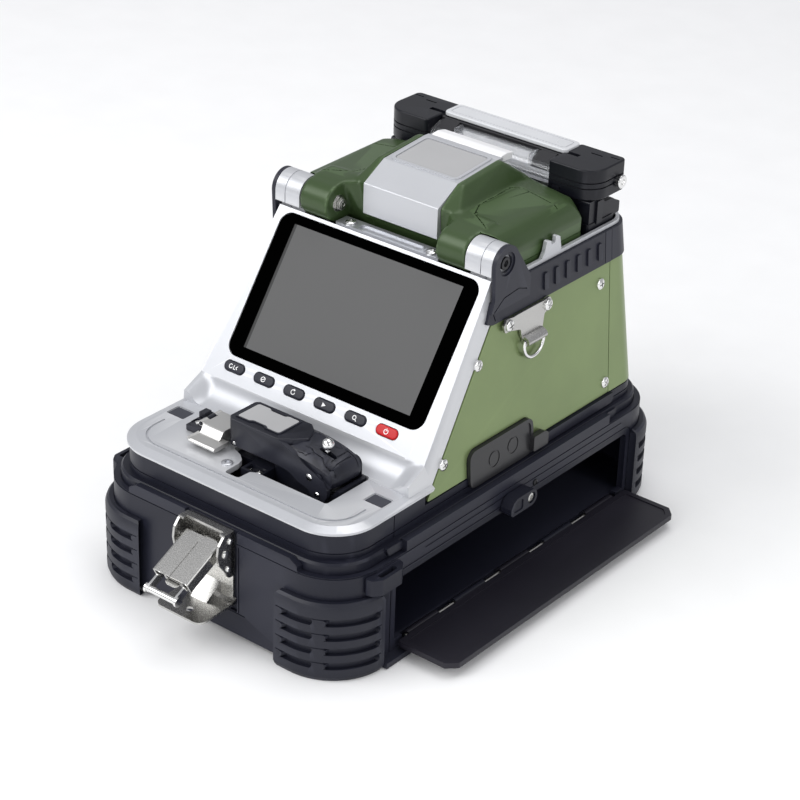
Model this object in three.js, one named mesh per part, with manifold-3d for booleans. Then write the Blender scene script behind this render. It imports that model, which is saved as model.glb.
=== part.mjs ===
// Fiber fusion splicer: a rounded base case with corner bumpers, a drop-down tool
// compartment flap and a draw latch; on it a sloping display head with a built-in
// cleaver on the front deck, a hinged wind cover, and a tube heater at the back.
// Millimetres, +Z up, front towards -Y, right-hand side towards +X.
import * as THREE from 'three';
import { mergeVertices } from 'three/addons/utils/BufferGeometryUtils.js';
import { ConvexGeometry } from 'three/addons/geometries/ConvexGeometry.js';
import Module from 'manifold-3d';

const wasm = await Module();
wasm.setup();

// ---------------------------------------------------------------- driving dimensions
const GAP = 0.3;                                  // space between touching pieces
const FAR = 400;                                  // longer than anything that is cut

const CASE = { halfX: 82, halfY: 133, r: 28, bottom: 3, top: 60.8, wall: 3.5, notch: 55 };
const NOTCH = { x: 55, y: 84.5 };                 // where the corner notches start
const OPENING = { y0: -92, y1: 102, z0: 8.4, z1: 42.5 };
const SILL = { x0: 70, x1: 88, z0: 0.4, z1: 3.3, halfY: 104.5 };   // ledge under the flap
const HINGE_BAY = { y0: -86, y1: 96 };            // where the case makes room for the flap's hinge
const STRAP_EAR = { x: 88.4, y0: -114, y1: -91, z0: 45, z1: 53.5 };
const RECESS = { halfX: 17, z0: 15.6, depth: 2 }; // front pocket behind the latch

const BUMPER = { out: 4.6, x: 44.5, y: 105, top: 43, bottom: 0 };

const COLLAR = { halfX: 75, front: -125.7, rear: 122, r: 23.5, band: 78.2, bandY: 129.2 };
const COLLAR_Z = { ceiling: 53, slab: 56, ledge: 60.6, rear: 68, front: 73.8 };

const FLAP = { axisX: 81.5, axisZ: 6, width: 33.7, thick: 3, start: 2.6, barrel: 2.4 };
const FLAP_PIN_R = 1.1;
const FLAP_KNUCKLES = [-70, 5, 80];               // the flap's own; the case has one on each side
const CASE_KNUCKLES = [-32.5, 42.5];
const KNUCKLE = 24;
const KNOB = { y: 6.6, z: 47.5, x0: 82.6, x1: 89.4, tail: 17, r: 4.6 };

const LATCH = { pivotY: -138.6, pivotZ: 50.5, halfX: 15, tilt: -27, bail: 13 };

const DECK = { halfX: 76, front: -126.9, r: 24.4, top: 77, under: 74.1 };
const SLOPE = { angle: 55.1, y: -50.4, z: 104.6, lip: -19.5, top: 74.4, plate: 3, cheek: 11.8 };
const COVE_START_Y = -76.7;

const BEZEL = { halfX: 63.4, v0: -5.8, v1: 72.3, r: 7 };
const SCREEN = { halfX: 54, v0: 0, v1: 67.5 };
const KEY = { count: 6, pitch: 19.95, centreX: -4.1, v: -11.4, halfW: 6.5, halfH: 3.2, travel: 1 };

// the upper body narrows towards its top, at the sides and at the rear
const BODY = { z0: 60, z1: 170, halfX0: 75.34, halfX1: 67.7, rear0: 122, rear1: 109.8, r: 14 };
const PANEL = { z0: 68.5, z1: 143, tipY: -60.5, seamY: 92, thick: 1.6 };
const TRIM = { z0: 143.3, z1: 160.8, proud: 1 };
const RAIL = { z0: 161.1, z1: 163, y: 19.8, thick: 1.8 };
const PORT = { y0: -29, y1: 23, z1: 82.5, r: 6 };

const HINGE = { y: -0.5, z: 173.5, r: 9.4 };      // wind cover axis, along X
const EAR = { x0: 35, x1: 52.4 };
const BLOCK = { x0: 53, x1: 68.9 };
const COVER = { halfX: 64, bottom: 161.2, rear: 72, front: 12 };
const CENTRE_HALF = 23.6;

const HEAT = { y0: 76, y1: 104, z0: 182, z1: 195.3, x0: 39, x1: 67.4, axisY: 97.5, axisZ: 185 };

const CLEAVER = { pivotX: 36, pivotZ: 82.5, top: 94.6, y0: -96.5, y1: -74, x0: -23 };
const SLIDER = { x: 33.6, y: -86.6, z: 96.2, r: 3.1, stem: 0.9, x0: 29.5, x1: 39, floor: 85 };

const CLAMP = { x: -40.4, z: 84.2, r: 1.6, pin: 0.8, y0: -97, y1: -81.5, knuckle: 5 };

const ARC = 6;                                    // steps in each arc of an outline
const KEY_ARC = 3;                                // and in the small arcs of a key

// ---------------------------------------------------------------- solids and booleans
function solidOf(geometry) {
  const bare = geometry.clone();
  bare.deleteAttribute('normal');
  bare.deleteAttribute('uv');
  const merged = mergeVertices(bare, 1e-3);
  const triangles = [];
  const index = merged.index.array;
  for (let i = 0; i < index.length; i += 3) {
    const [a, b, c] = [index[i], index[i + 1], index[i + 2]];
    if (a !== b && b !== c && c !== a) triangles.push(a, b, c);
  }
  return new wasm.Manifold(new wasm.Mesh({
    numProp: 3,
    vertProperties: new Float32Array(merged.attributes.position.array),
    triVerts: new Uint32Array(triangles),
  }));
}

function geometryOf(solid) {
  const mesh = solid.getMesh();
  const geometry = new THREE.BufferGeometry();
  geometry.setAttribute('position', new THREE.BufferAttribute(mesh.vertProperties, 3));
  geometry.setIndex(new THREE.BufferAttribute(mesh.triVerts, 1));
  return geometry;
}

const join = (...solids) => solids.reduce((a, b) => a.add(b));
const cut = (solid, ...tools) => tools.reduce((a, b) => a.subtract(b), solid);
const common = (a, b) => a.intersect(b);

function placed(geometry, matrix) {
  geometry.applyMatrix4(matrix);
  return solidOf(geometry);
}

// ---------------------------------------------------------------- basic shapes
function outline(points) {
  return new THREE.Shape(points.map(([a, b]) => new THREE.Vector2(a, b)));
}

function extruded(shape, length, steps = ARC) {
  return new THREE.ExtrudeGeometry(shape, { depth: length, bevelEnabled: false, curveSegments: steps });
}

function box(x0, x1, y0, y1, z0, z1) {
  const geometry = new THREE.BoxGeometry(x1 - x0, y1 - y0, z1 - z0);
  geometry.translate((x0 + x1) / 2, (y0 + y1) / 2, (z0 + z1) / 2);
  return solidOf(geometry);
}

// an outline in X and Y, raised from z0 to z1
function slab(shape, z0, z1, steps = ARC) {
  return placed(extruded(shape, z1 - z0, steps), new THREE.Matrix4().makeTranslation(0, 0, z0));
}

// an outline in Y and Z, carried along X
function alongX(shape, x0, x1, steps = ARC) {
  const turn = new THREE.Matrix4().makeBasis(
    new THREE.Vector3(0, 1, 0), new THREE.Vector3(0, 0, 1), new THREE.Vector3(1, 0, 0));
  return placed(extruded(shape, x1 - x0, steps), turn.setPosition(x0, 0, 0));
}

// an outline in X and Z, carried along Y
function alongY(shape, y0, y1, steps = ARC) {
  const turn = new THREE.Matrix4().makeBasis(
    new THREE.Vector3(1, 0, 0), new THREE.Vector3(0, 0, 1), new THREE.Vector3(0, -1, 0));
  return placed(extruded(shape, y1 - y0, steps), turn.setPosition(0, y1, 0));
}

function rod(axis, x, y, z, radius, length, sides = 16) {
  const geometry = new THREE.CylinderGeometry(radius, radius, length, sides);
  if (axis === 'x') geometry.rotateZ(-Math.PI / 2);
  if (axis === 'z') geometry.rotateX(Math.PI / 2);
  geometry.translate(x, y, z);
  return solidOf(geometry);
}

function hull(points) {
  return solidOf(new ConvexGeometry(points.map(([x, y, z]) => new THREE.Vector3(x, y, z))));
}

// a rectangle with round corners; the front and rear corners may differ
function rounded(x0, x1, y0, y1, front, rear = front) {
  const half = Math.PI / 2;
  const shape = new THREE.Shape();
  shape.moveTo(x0 + front, y0);
  shape.lineTo(x1 - front, y0);
  shape.absarc(x1 - front, y0 + front, front, -half, 0, false);
  shape.lineTo(x1, y1 - rear);
  shape.absarc(x1 - rear, y1 - rear, rear, 0, half, false);
  shape.lineTo(x0 + rear, y1);
  shape.absarc(x0 + rear, y1 - rear, rear, half, 2 * half, false);
  shape.lineTo(x0, y0 + front);
  shape.absarc(x0 + front, y0 + front, front, 2 * half, 3 * half, false);
  return shape;
}

// the mirror image of a solid in the plane X = 0
const mirrored = (solid) => solid.mirror([1, 0, 0]);
const onSide = (solid, side) => (side > 0 ? solid : mirrored(solid));

// ---------------------------------------------------------------- the sloping face
// u runs along X, v up the slope from the foot of the screen, w out of the face
const slopeAngle = THREE.MathUtils.degToRad(SLOPE.angle);
const slopeMatrix = new THREE.Matrix4().makeRotationX(slopeAngle).setPosition(0, SLOPE.y, SLOPE.z);
const slopeY = (v, w = 0) => SLOPE.y + v * Math.cos(slopeAngle) - w * Math.sin(slopeAngle);
const slopeZ = (v, w = 0) => SLOPE.z + v * Math.sin(slopeAngle) + w * Math.cos(slopeAngle);
const slopePoint = (v, w = 0) => [slopeY(v, w), slopeZ(v, w)];
// the point at height z on the plane that lies w outside the face
const slopeAt = (z, w = 0) => {
  const rise = z - SLOPE.z - w * Math.cos(slopeAngle);
  return slopePoint(rise / Math.sin(slopeAngle), w);
};

function onSlope(shape, w0, w1, steps = ARC) {
  const geometry = extruded(shape, w1 - w0, steps);
  geometry.translate(0, 0, w0);
  return placed(geometry, slopeMatrix);
}

// the tapering outside of the upper body, grown outwards by some amount
function bodyPrism(grow = 0) {
  const halfX = BODY.halfX0 + grow;
  const rear = BODY.rear0 + grow;
  const geometry = extruded(rounded(-halfX, halfX, -FAR, rear, 1, BODY.r + grow), BODY.z1 - BODY.z0);
  geometry.translate(0, 0, BODY.z0);
  const position = geometry.attributes.position;
  const narrow = (BODY.halfX1 + grow) / halfX;
  for (let i = 0; i < position.count; i += 1) {
    if (position.getZ(i) > BODY.z0 + 1) {
      position.setX(i, position.getX(i) * narrow);
      if (position.getY(i) > 0) position.setY(i, position.getY(i) - (BODY.rear0 - BODY.rear1));
    }
  }
  return solidOf(geometry);
}

const skin = (outer, inner) => cut(bodyPrism(outer), bodyPrism(inner));
const bodyHalfX = (z) => BODY.halfX0 - ((z - BODY.z0) * (BODY.halfX0 - BODY.halfX1)) / (BODY.z1 - BODY.z0);

// ---------------------------------------------------------------- materials
const finishes = {
  case_plastic: { color: 0x23252e, roughness: 0.55, metalness: 0 },
  rubber: { color: 0x262831, roughness: 0.8, metalness: 0 },
  trim_plastic: { color: 0x2b2d38, roughness: 0.5, metalness: 0 },
  silver_paint: { color: 0xd4d6da, roughness: 0.35, metalness: 0.3 },
  green_anodised: { color: 0x87966a, roughness: 0.45, metalness: 0.5 },
  green_paint: { color: 0x53663f, roughness: 0.4, metalness: 0.1 },
  steel: { color: 0xc8c6c2, roughness: 0.25, metalness: 1 },
  glass_black: { color: 0x050505, roughness: 0.15, metalness: 0 },
  screen: { color: 0x707070, roughness: 0.3, metalness: 0 },
  key_plastic: { color: 0x30323c, roughness: 0.4, metalness: 0 },
  key_red: { color: 0xcf3230, roughness: 0.4, metalness: 0 },
  clear: { color: 0xbfc3cc, roughness: 0.1, metalness: 0, transparent: true, opacity: 0.4 },
  battery: { color: 0x2d4f86, roughness: 0.5, metalness: 0 },
  aluminium: { color: 0xb9bcc0, roughness: 0.35, metalness: 0.9 },
  port_rubber: { color: 0x4a4a50, roughness: 0.6, metalness: 0 },
};
const materials = Object.fromEntries(
  Object.entries(finishes).map(([name, look]) => [name, new THREE.MeshStandardMaterial(look)]));

const splicer = new THREE.Group();
splicer.name = 'fiber_fusion_splicer';

function piece(name, solid, finish) {
  const mesh = new THREE.Mesh(geometryOf(solid), materials[finish]);
  mesh.name = name;
  splicer.add(mesh);
}

// ---------------------------------------------------------------- base case
function baseCase() {
  const { halfX, halfY, r, wall } = CASE;
  let body = slab(rounded(-halfX, halfX, -halfY, halfY, r), CASE.bottom, CASE.top);
  body = cut(body, slab(
    rounded(-halfX + wall, halfX - wall, -halfY + wall, halfY - wall, r - wall),
    CASE.bottom + wall, CASE.top + 1));
  for (const sx of [-1, 1]) {
    for (const sy of [-1, 1]) {
      const xs = [sx * NOTCH.x, sx * FAR].sort((a, b) => a - b);
      const ys = [sy * NOTCH.y, sy * FAR].sort((a, b) => a - b);
      body = cut(body, box(xs[0], xs[1], ys[0], ys[1], CASE.notch, CASE.top + 1));
    }
  }
  body = cut(body,
    box(halfX - wall - 1, FAR, OPENING.y0, OPENING.y1, OPENING.z0, OPENING.z1),
    box(-RECESS.halfX, RECESS.halfX, -halfY - 1, -halfY + RECESS.depth, RECESS.z0, CASE.top + 1));
  // the sill that carries the flap, and the two strap ears
  const sill = box(SILL.x0, SILL.x1, -SILL.halfY, SILL.halfY, SILL.z0, SILL.z1);
  const ear = cut(
    box(halfX - 1, STRAP_EAR.x, STRAP_EAR.y0, STRAP_EAR.y1, STRAP_EAR.z0, STRAP_EAR.z1),
    box(halfX + 1, STRAP_EAR.x - 2, STRAP_EAR.y0 + 5, STRAP_EAR.y1 - 5, 0, FAR));
  body = cut(body, box(halfX - wall - 0.3, FAR, HINGE_BAY.y0, HINGE_BAY.y1, 0, OPENING.z0 + 0.1));
  body = join(body, sill, ear, mirrored(ear));
  for (const y of CASE_KNUCKLES) {
    body = join(body, rod('y', FLAP.axisX, y, FLAP.axisZ, FLAP.barrel, KNUCKLE, 14),
      box(halfX - wall - 1, FLAP.axisX, y - KNUCKLE / 2, y + KNUCKLE / 2, CASE.bottom, FLAP.axisZ));
  }
  return cut(body, rod('y', FLAP.axisX, 5, FLAP.axisZ, FLAP_PIN_R + GAP, 180, 14));
}

// ring and ceiling that join the case to the upper body
function baseCollar() {
  const { halfX, front, rear, r, band, bandY } = COLLAR;
  const wall = 3;
  const flange = slab(rounded(-band, band, -bandY, bandY, 24.2), COLLAR_Z.ceiling, COLLAR_Z.ledge);
  const tub = slab(rounded(-halfX, halfX, front, rear, r, BODY.r + 2), COLLAR_Z.ledge - 1, COLLAR_Z.rear);
  const frontTub = common(
    slab(rounded(-halfX, halfX, front, rear, r, BODY.r + 2), COLLAR_Z.ledge - 1, COLLAR_Z.front),
    box(-FAR, FAR, -FAR, PANEL.tipY - 2, 0, FAR));
  const hollow = slab(
    rounded(-halfX + wall, halfX - wall, front + wall, rear - wall, r - wall, BODY.r - 1),
    COLLAR_Z.slab, FAR);
  return cut(join(flange, tub, frontTub), hollow);
}

// one corner bumper: a thick skin that wraps the corner of the case
function cornerBumper(sx, sy) {
  const { halfX, halfY, r } = CASE;
  const out = BUMPER.out;
  const outer = rounded(-halfX - out, halfX + out, -halfY - out, halfY + out, r + out);
  const inner = rounded(-halfX - GAP, halfX + GAP, -halfY - GAP, halfY + GAP, r + GAP);
  const skinned = cut(
    slab(outer, BUMPER.bottom, BUMPER.top),
    slab(inner, -1, FAR));
  let bumper = common(skinned, box(BUMPER.x, FAR, BUMPER.y, FAR, -FAR, FAR));
  if (sx < 0) bumper = bumper.mirror([1, 0, 0]);
  if (sy < 0) bumper = bumper.mirror([0, 1, 0]);
  return bumper;
}

// ---------------------------------------------------------------- side compartment
function sideFlap() {
  const { axisX, axisZ, width, thick, start, barrel } = FLAP;
  // lying open: the plate's outer face is underneath
  const plate = box(axisX + start, axisX + start + width, OPENING.y0 + 0.4, OPENING.y1 - 0.4,
    axisZ - 0.5, axisZ - 0.5 + thick);
  let flap = plate;
  for (const y of FLAP_KNUCKLES) {
    flap = join(flap, rod('y', axisX, y, axisZ, barrel, KNUCKLE, 14),
      box(axisX, axisX + start + 1, y - KNUCKLE / 2, y + KNUCKLE / 2, axisZ - 0.5, axisZ + 2));
  }
  return cut(flap, rod('y', axisX, 0, axisZ, FLAP_PIN_R + GAP, FAR, 14));
}

function flapKnob() {
  const { y, z, x0, x1, tail, r } = KNOB;
  const shape = new THREE.Shape();
  shape.absarc(y, z, r, -Math.PI / 2, Math.PI / 2, false);
  shape.lineTo(y - tail + 3, z + r);
  shape.lineTo(y - tail, z + r - 3);
  shape.lineTo(y - tail, z - r);
  return cut(alongX(shape, x0, x1), rod('x', x1, y, z, 2.4, 3));
}

// ---------------------------------------------------------------- front draw latch
function latchBasePlate() {
  const y = -CASE.halfY + RECESS.depth - GAP;
  const plate = box(-14, 14, y - 1.4, y, 19, 60);
  const flange = alongX(outline([
    [y, 19], [y, 26], [y - 9, 21], [-157.5, 19.9], [-157.5, 18.5], [y - 8, 18.9]]),
    -15.2, 15.2);
  return cut(join(plate, flange), rod('z', 0, -151, 19, 2.2, 12));
}

function latchBracket() {
  const back = -CASE.halfY + RECESS.depth - GAP - 1.4 - GAP;
  const cheek = alongX(outline([
    [back, 61], [back, 36], [back - 5, 38], [-144, 47], [-144, 56], [-140, 60]]),
    LATCH.halfX - 1.4, LATCH.halfX);
  const plate = box(-LATCH.halfX, LATCH.halfX, back - 1.4, back, 36, 61);
  const holes = rod('x', 0, LATCH.pivotY, LATCH.pivotZ, 1.7, 60, 12);
  return cut(join(plate, cheek, mirrored(cheek)), holes);
}

const latchTurn = (solid) => solid
  .translate([0, -LATCH.pivotY, -LATCH.pivotZ])
  .rotate([-LATCH.tilt, 0, 0])
  .translate([0, LATCH.pivotY, LATCH.pivotZ]);

// lever: a folded box on a cross pin, drawn level and then tilted down
function latchLever() {
  const { pivotY, pivotZ, halfX } = LATCH;
  const tube = cut(
    box(-11.4, 11.4, pivotY - 24, pivotY + 2.2, pivotZ - 3.6, pivotZ + 3.8),
    box(-10, 10, pivotY - 40, pivotY + 0.9, pivotZ - 6, pivotZ + 2.5));
  const pin = rod('x', 0, pivotY, pivotZ, 1.4, 2 * halfX + 2, 12);
  return latchTurn(join(tube, pin));
}

// bail: two arms and a round rod, carried by the lever
function latchBail() {
  const { pivotY, pivotZ } = LATCH;
  const arm = box(8, 9.6, pivotY - 33, pivotY - 10, pivotZ - 3.5, pivotZ + 1);
  const bar = rod('x', 0, pivotY - 32, pivotZ - 1.2, 2, 21, 12);
  const pin = rod('x', 0, pivotY - LATCH.bail, pivotZ - 1.2, 1, 19, 10);
  return latchTurn(join(arm, mirrored(arm), bar, pin));
}

// ---------------------------------------------------------------- front frame
function coveArc() {
  const [lipY, lipZ] = slopePoint(SLOPE.lip);
  const rise = lipZ - DECK.top;
  const run = lipY - COVE_START_Y;
  const radius = (run * run + rise * rise) / (2 * rise);
  const sweep = Math.asin(run / radius);
  const points = [];
  for (let i = 0; i <= ARC; i += 1) {
    const a = (sweep * i) / ARC;
    points.push([COVE_START_Y + radius * Math.sin(a), DECK.top + radius * (1 - Math.cos(a))]);
  }
  return points;
}

function frontFrame() {
  const plate = SLOPE.plate;
  const cove = coveArc();
  const [lipY, lipZ] = slopePoint(SLOPE.lip);
  const face = outline([
    [DECK.front, DECK.under], [DECK.front, DECK.top], ...cove,
    slopePoint(SLOPE.top), slopePoint(SLOPE.top, -plate), slopePoint(SLOPE.lip + 1, -plate),
    [lipY + 4, DECK.top], [COVE_START_Y + 8, DECK.under]]);
  const cheek = outline([
    [COVE_START_Y - 6, DECK.under], [COVE_START_Y - 6, DECK.top], [COVE_START_Y + 4, DECK.top + 1.5],
    [lipY - 5, DECK.top + 5.5], [lipY, lipZ], slopePoint(SLOPE.top),
    slopePoint(SLOPE.top, -SLOPE.cheek), slopeAt(DECK.under, -SLOPE.cheek)]);
  const taper = join(
    slab(rounded(-DECK.halfX, DECK.halfX, DECK.front, 0, DECK.r, 1), DECK.under, DECK.top + 1),
    common(bodyPrism(-0.5), box(-FAR, FAR, -FAR, FAR, DECK.top, FAR)));
  let frame = join(
    alongX(face, -80, 80),
    alongX(cheek, 66.5, 80),
    alongX(cheek, -80, -66.5));
  frame = common(frame, taper);
  const window = rounded(-BEZEL.halfX - GAP, BEZEL.halfX + GAP, BEZEL.v0 - GAP, BEZEL.v1 + GAP, BEZEL.r);
  frame = cut(frame, onSlope(window, -6, 4), cleaverPocket(), trimCutter(1), trimCutter(-1));
  for (let i = 0; i < KEY.count; i += 1) {
    frame = cut(frame, onSlope(keyOutline(i, GAP), -6, 4, KEY_ARC));
  }
  return frame;
}

// deck cut-out for the cleaver, with a tongue of the deck left at its front corner
function cleaverPocket() {
  const shape = outline([
    [-7.5, -114.8], [1, -114.8], [2.1, -106], [48.4, -105], [48.4, -72.8],
    [-7, -72.8], [-7, -97], [-10.6, -101], [-10.6, -105]]);
  return slab(shape, 60, DECK.top + 2);
}

function keyOutline(i, grow = 0) {
  const x = KEY.centreX + (i - (KEY.count - 1) / 2) * KEY.pitch;
  const w = KEY.halfW + grow;
  const h = KEY.halfH + grow;
  return rounded(x - w, x + w, KEY.v - h, KEY.v + h, h);
}

const keyCap = (i) => onSlope(keyOutline(i), -SLOPE.plate, KEY.travel, KEY_ARC);

function displayBezel() {
  const outer = rounded(-BEZEL.halfX, BEZEL.halfX, BEZEL.v0, BEZEL.v1, BEZEL.r - GAP);
  const inner = outline([
    [-SCREEN.halfX, SCREEN.v0], [SCREEN.halfX, SCREEN.v0],
    [SCREEN.halfX, SCREEN.v1], [-SCREEN.halfX, SCREEN.v1]]);
  return cut(onSlope(outer, -2.4, -0.3), onSlope(inner, -4, 2));
}

function lcdModule() {
  return onSlope(outline([[-60, -4], [60, -4], [60, 70], [-60, 70]]), -8, -2.7);
}

// ---------------------------------------------------------------- upper body
function sidePanel(side) {
  const shape = outline([
    slopeAt(PANEL.z0, -SLOPE.cheek - 0.6), [PANEL.seamY, PANEL.z0],
    [PANEL.seamY, PANEL.z1], slopeAt(PANEL.z1, -SLOPE.cheek - 0.6)]);
  let panel = common(skin(0, -PANEL.thick), alongX(shape, 50, 90));
  if (side > 0) {
    const port = rounded(PORT.y0 - GAP, PORT.y1 + GAP, 0, PORT.z1 + GAP, 1, PORT.r);
    panel = cut(panel, alongX(port, 50, 90));
  }
  return onSide(panel, side);
}

function rearPanel() {
  return common(skin(0, -PANEL.thick), box(-FAR, FAR, PANEL.seamY + GAP, FAR, PANEL.z0, PANEL.z1));
}

// arm of the trim: round at the hinge, then a band back along the top of the side
function trimShape(grow = 0) {
  const r = HINGE.r + grow;
  const shape = new THREE.Shape();
  shape.absarc(HINGE.y, HINGE.z, r, THREE.MathUtils.degToRad(33), Math.PI, false);
  shape.lineTo(-9 - grow, 156.6);
  shape.lineTo(-13.2 - grow, 145);
  shape.lineTo(-8.6, TRIM.z0 - grow);
  shape.lineTo(PANEL.seamY, TRIM.z0 - grow);
  shape.lineTo(PANEL.seamY, TRIM.z1 + grow);
  shape.lineTo(RAIL.y, TRIM.z1 + grow);
  return shape;
}

const trimCutter = (side) => onSide(alongX(trimShape(0.4), 64, 80), side);

function sideTrim(side) {
  const band = common(skin(TRIM.proud, -PANEL.thick), alongX(trimShape(), 50, 90));
  const arm = common(
    alongX(trimShape(), BLOCK.x1 + GAP, 71.4),
    box(-FAR, FAR, -FAR, RAIL.y, 150, FAR));
  return onSide(cut(join(band, arm), rod('x', 70, HINGE.y, HINGE.z, 5.2, 20),
    box(0, BLOCK.x1 + GAP, -FAR, RAIL.y, 155, FAR)), side);
}

function rearTrim() {
  return common(skin(TRIM.proud, -PANEL.thick),
    box(-FAR, FAR, PANEL.seamY + GAP, FAR, TRIM.z0, TRIM.z1));
}

// bright rail round the top edge, with the two notched latch plates of the wind cover
function topRail() {
  const rail = common(skin(-0.6, -0.6 - RAIL.thick), box(-FAR, FAR, RAIL.y, FAR, RAIL.z0, RAIL.z1));
  const plate = alongX(outline([
    [33, 161.5], [50, 161.5], [48.5, 170], [45.5, 170.5], [45, 168], [38.5, 168], [38, 172], [35.5, 172]]),
    66.1, 67.6);
  return join(rail, plate, mirrored(plate));
}

function hingeBlock(side) {
  const shape = new THREE.Shape();
  shape.absarc(HINGE.y, HINGE.z, HINGE.r, 0, Math.PI, false);
  shape.lineTo(HINGE.y - HINGE.r, 168.5);
  shape.lineTo(-5, 166.2);
  shape.lineTo(-5, 160.5);
  shape.lineTo(HINGE.y + HINGE.r, 160.5);
  return onSide(cut(alongX(shape, BLOCK.x0, BLOCK.x1), rod('x', 60, HINGE.y, HINGE.z, 3.3, 40)), side);
}

const hingePin = (side) => onSide(rod('x', 50, HINGE.y, HINGE.z, 3, 36.4), side);

function crossbar() {
  const bar = box(-33, 33, -5, 4, 161.5, 165.6);
  return cut(bar, box(-20, 20, -4, 1.6, 164.6, 170));
}

// ---------------------------------------------------------------- wind cover
function windCover() {
  const { halfX, bottom, rear, front } = COVER;
  const wing = hull([                             // one side, from the middle outwards
    [20, front, bottom], [halfX, front, bottom], [halfX, rear, bottom], [20, rear, bottom],
    [halfX, rear, 178], [halfX, front, 170], [58, rear, 185], [56.5, front + 9, 181.5],
    [36, rear, 185.5], [38, 10, 184], [24, 52.6, 197.3], [24, 20.8, 194.5], [24, 7, 185.8],
    [24, rear, 190], [24, 8.9, 166], [20, 20.8, 191], [20, 52, 193.5], [20, rear, 188],
    [20, 9.2, 185], [20, 9.2, 166]]);
  const middle = alongX(outline([
    [9.2, 166], [9.2, 184], [22, 190.6], [52, 193.4], [rear, 187], [rear, bottom], [front, bottom]]),
    -20.5, 20.5);
  const earShape = new THREE.Shape();
  earShape.absarc(HINGE.y, HINGE.z, HINGE.r + 0.4, THREE.MathUtils.degToRad(125), Math.PI * 1.5, false);
  earShape.lineTo(front + 2, 166);
  earShape.lineTo(front + 4, 184);
  earShape.lineTo(10, 187);
  const ear = alongX(earShape, EAR.x0, EAR.x1, 8);
  const blockRear = HINGE.y + HINGE.r + 1.2;
  const clearance = alongX(outline([
    [-20, 150], [blockRear, 150], [blockRear, 176], [6, 183], [2, 200], [-20, 200]]),
    BLOCK.x0 - 2 * GAP, 90);
  const hollow = hull([
    [-61, front + 3, 150], [61, front + 3, 150], [-61, rear - 3, 150], [61, rear - 3, 150],
    [-61, rear - 3, 175.5], [61, rear - 3, 175.5], [-61, front + 5, 168], [61, front + 5, 168],
    [-55.5, rear - 3, 181.5], [55.5, rear - 3, 181.5], [-54, 24, 177.5], [54, 24, 177.5],
    [-30, 20, 181], [30, 20, 181], [-30, rear - 3, 182], [30, rear - 3, 182],
    [-22, 22, 187], [22, 22, 187], [-22, 52, 190], [22, 52, 190],
    [-22, rear - 3, 184.5], [22, rear - 3, 184.5]]);
  const wings = join(wing, ear, middle, mirrored(wing), mirrored(ear));
  const tabSlot = box(-30, 30, 69, 90, 186, 210);
  return cut(wings, hollow, clearance, mirrored(clearance), tabSlot,
    rod('x', 0, HINGE.y, HINGE.z, 3.3, 110),
    box(-CENTRE_HALF - GAP, CENTRE_HALF + GAP, -20, 9.1, 150, FAR),
    alongX(outline([[0, 183.7], [8.6, 183.7], [21.4, 190.9], [52.2, 193.6], [69, 193.2], [90, 190],
      [90, 210], [0, 210]]), -CENTRE_HALF - GAP, CENTRE_HALF + GAP));
}

// bright centre of the wind cover, with the lifting tab at its rear
function windCoverCentre() {
  const skinShape = outline([
    [5.4, 169.2], [5.4, 185.8], [20.8, 194.5], [52.6, 197.3], [60, 197], [60, 194.4],
    [52.3, 194], [21.5, 191.3], [8.7, 184.2], [8.7, 169.2]]);
  const tab = alongX(outline([[57, 194.6], [57, 197.2], [66, 197.6], [69, 195], [69, 193.6]]), -22.6, 22.6);
  return join(alongX(skinShape, -CENTRE_HALF, CENTRE_HALF), tab);
}

// ---------------------------------------------------------------- splicing stage
function workDeck() {
  return common(bodyPrism(-3.2), box(-FAR, FAR, 14, FAR, 156.5, 160));
}

function vGrooveBlock() {
  const block = box(-13, 13, 33, 49, 160.3, 168);
  const groove = alongX(outline([[40.4, 169], [41, 167.2], [41.6, 169]]), -20, 20);
  return cut(block, groove, box(-3.5, 3.5, 37, 45, 164, 170), rod('y', 0, 41, 166.4, 1.8, 40, 10));
}

function fibreHolder(side) {
  const base = box(19, 44, 31, 51, 160.3, 166.5);
  const lid = box(22, 42, 33, 49, 166, 171);
  const groove = alongX(outline([[40.4, 172], [41, 170.2], [41.6, 172]]), 10, 50);
  return onSide(cut(join(base, lid), groove), side);
}

function electrode(y0, y1, tipY) {
  const body = rod('y', 0, (y0 + y1) / 2, 166.4, 1.4, y1 - y0, 10);
  const head = box(-4, 4, tipY < y0 ? y1 - 5 : y0, tipY < y0 ? y1 : y0 + 5, 160.3, 169);
  return join(body, head);
}

function cameraModule() {
  return join(box(-20, 20, 26, 56, 108, 150), rod('z', 0, 41, 152, 9, 6, 20));
}

// ---------------------------------------------------------------- tube heater
function heaterBase() {
  const tray = slab(rounded(-65, 65, 77, 106, 2, 10), 160.3, 166);
  const foot = alongX(outline([
    [78, 165], [78, 181], [90.5, 181], [90.5, 176], [104.5, 176], [104.5, 165]]), 41, 64);
  return join(tray, foot, mirrored(foot));
}

function heaterPlate() {
  return cut(box(-37, 37, 84, 98, 166.4, 178), alongX(outline([[86, 180], [91, 169], [96, 180]]), -50, 50));
}

function heaterLidEnd(side) {
  const shape = rounded(HEAT.x0, HEAT.x1, HEAT.y0, HEAT.y1, 3, 3);
  const shell = slab(shape, HEAT.z0, HEAT.z1);
  const roundFront = cut(
    box(HEAT.x1 - 12, HEAT.x1 + 1, HEAT.y0 - 1, HEAT.y0 + 12, 0, FAR),
    rod('z', HEAT.x1 - 12, HEAT.y0 + 12, 190, 12, 60, 28));
  const knob = rod('x', HEAT.x1 + 0.9, HEAT.axisY, HEAT.axisZ, 3.6, 3.4);
  return onSide(join(cut(shell, roundFront), knob), side);
}

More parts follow.
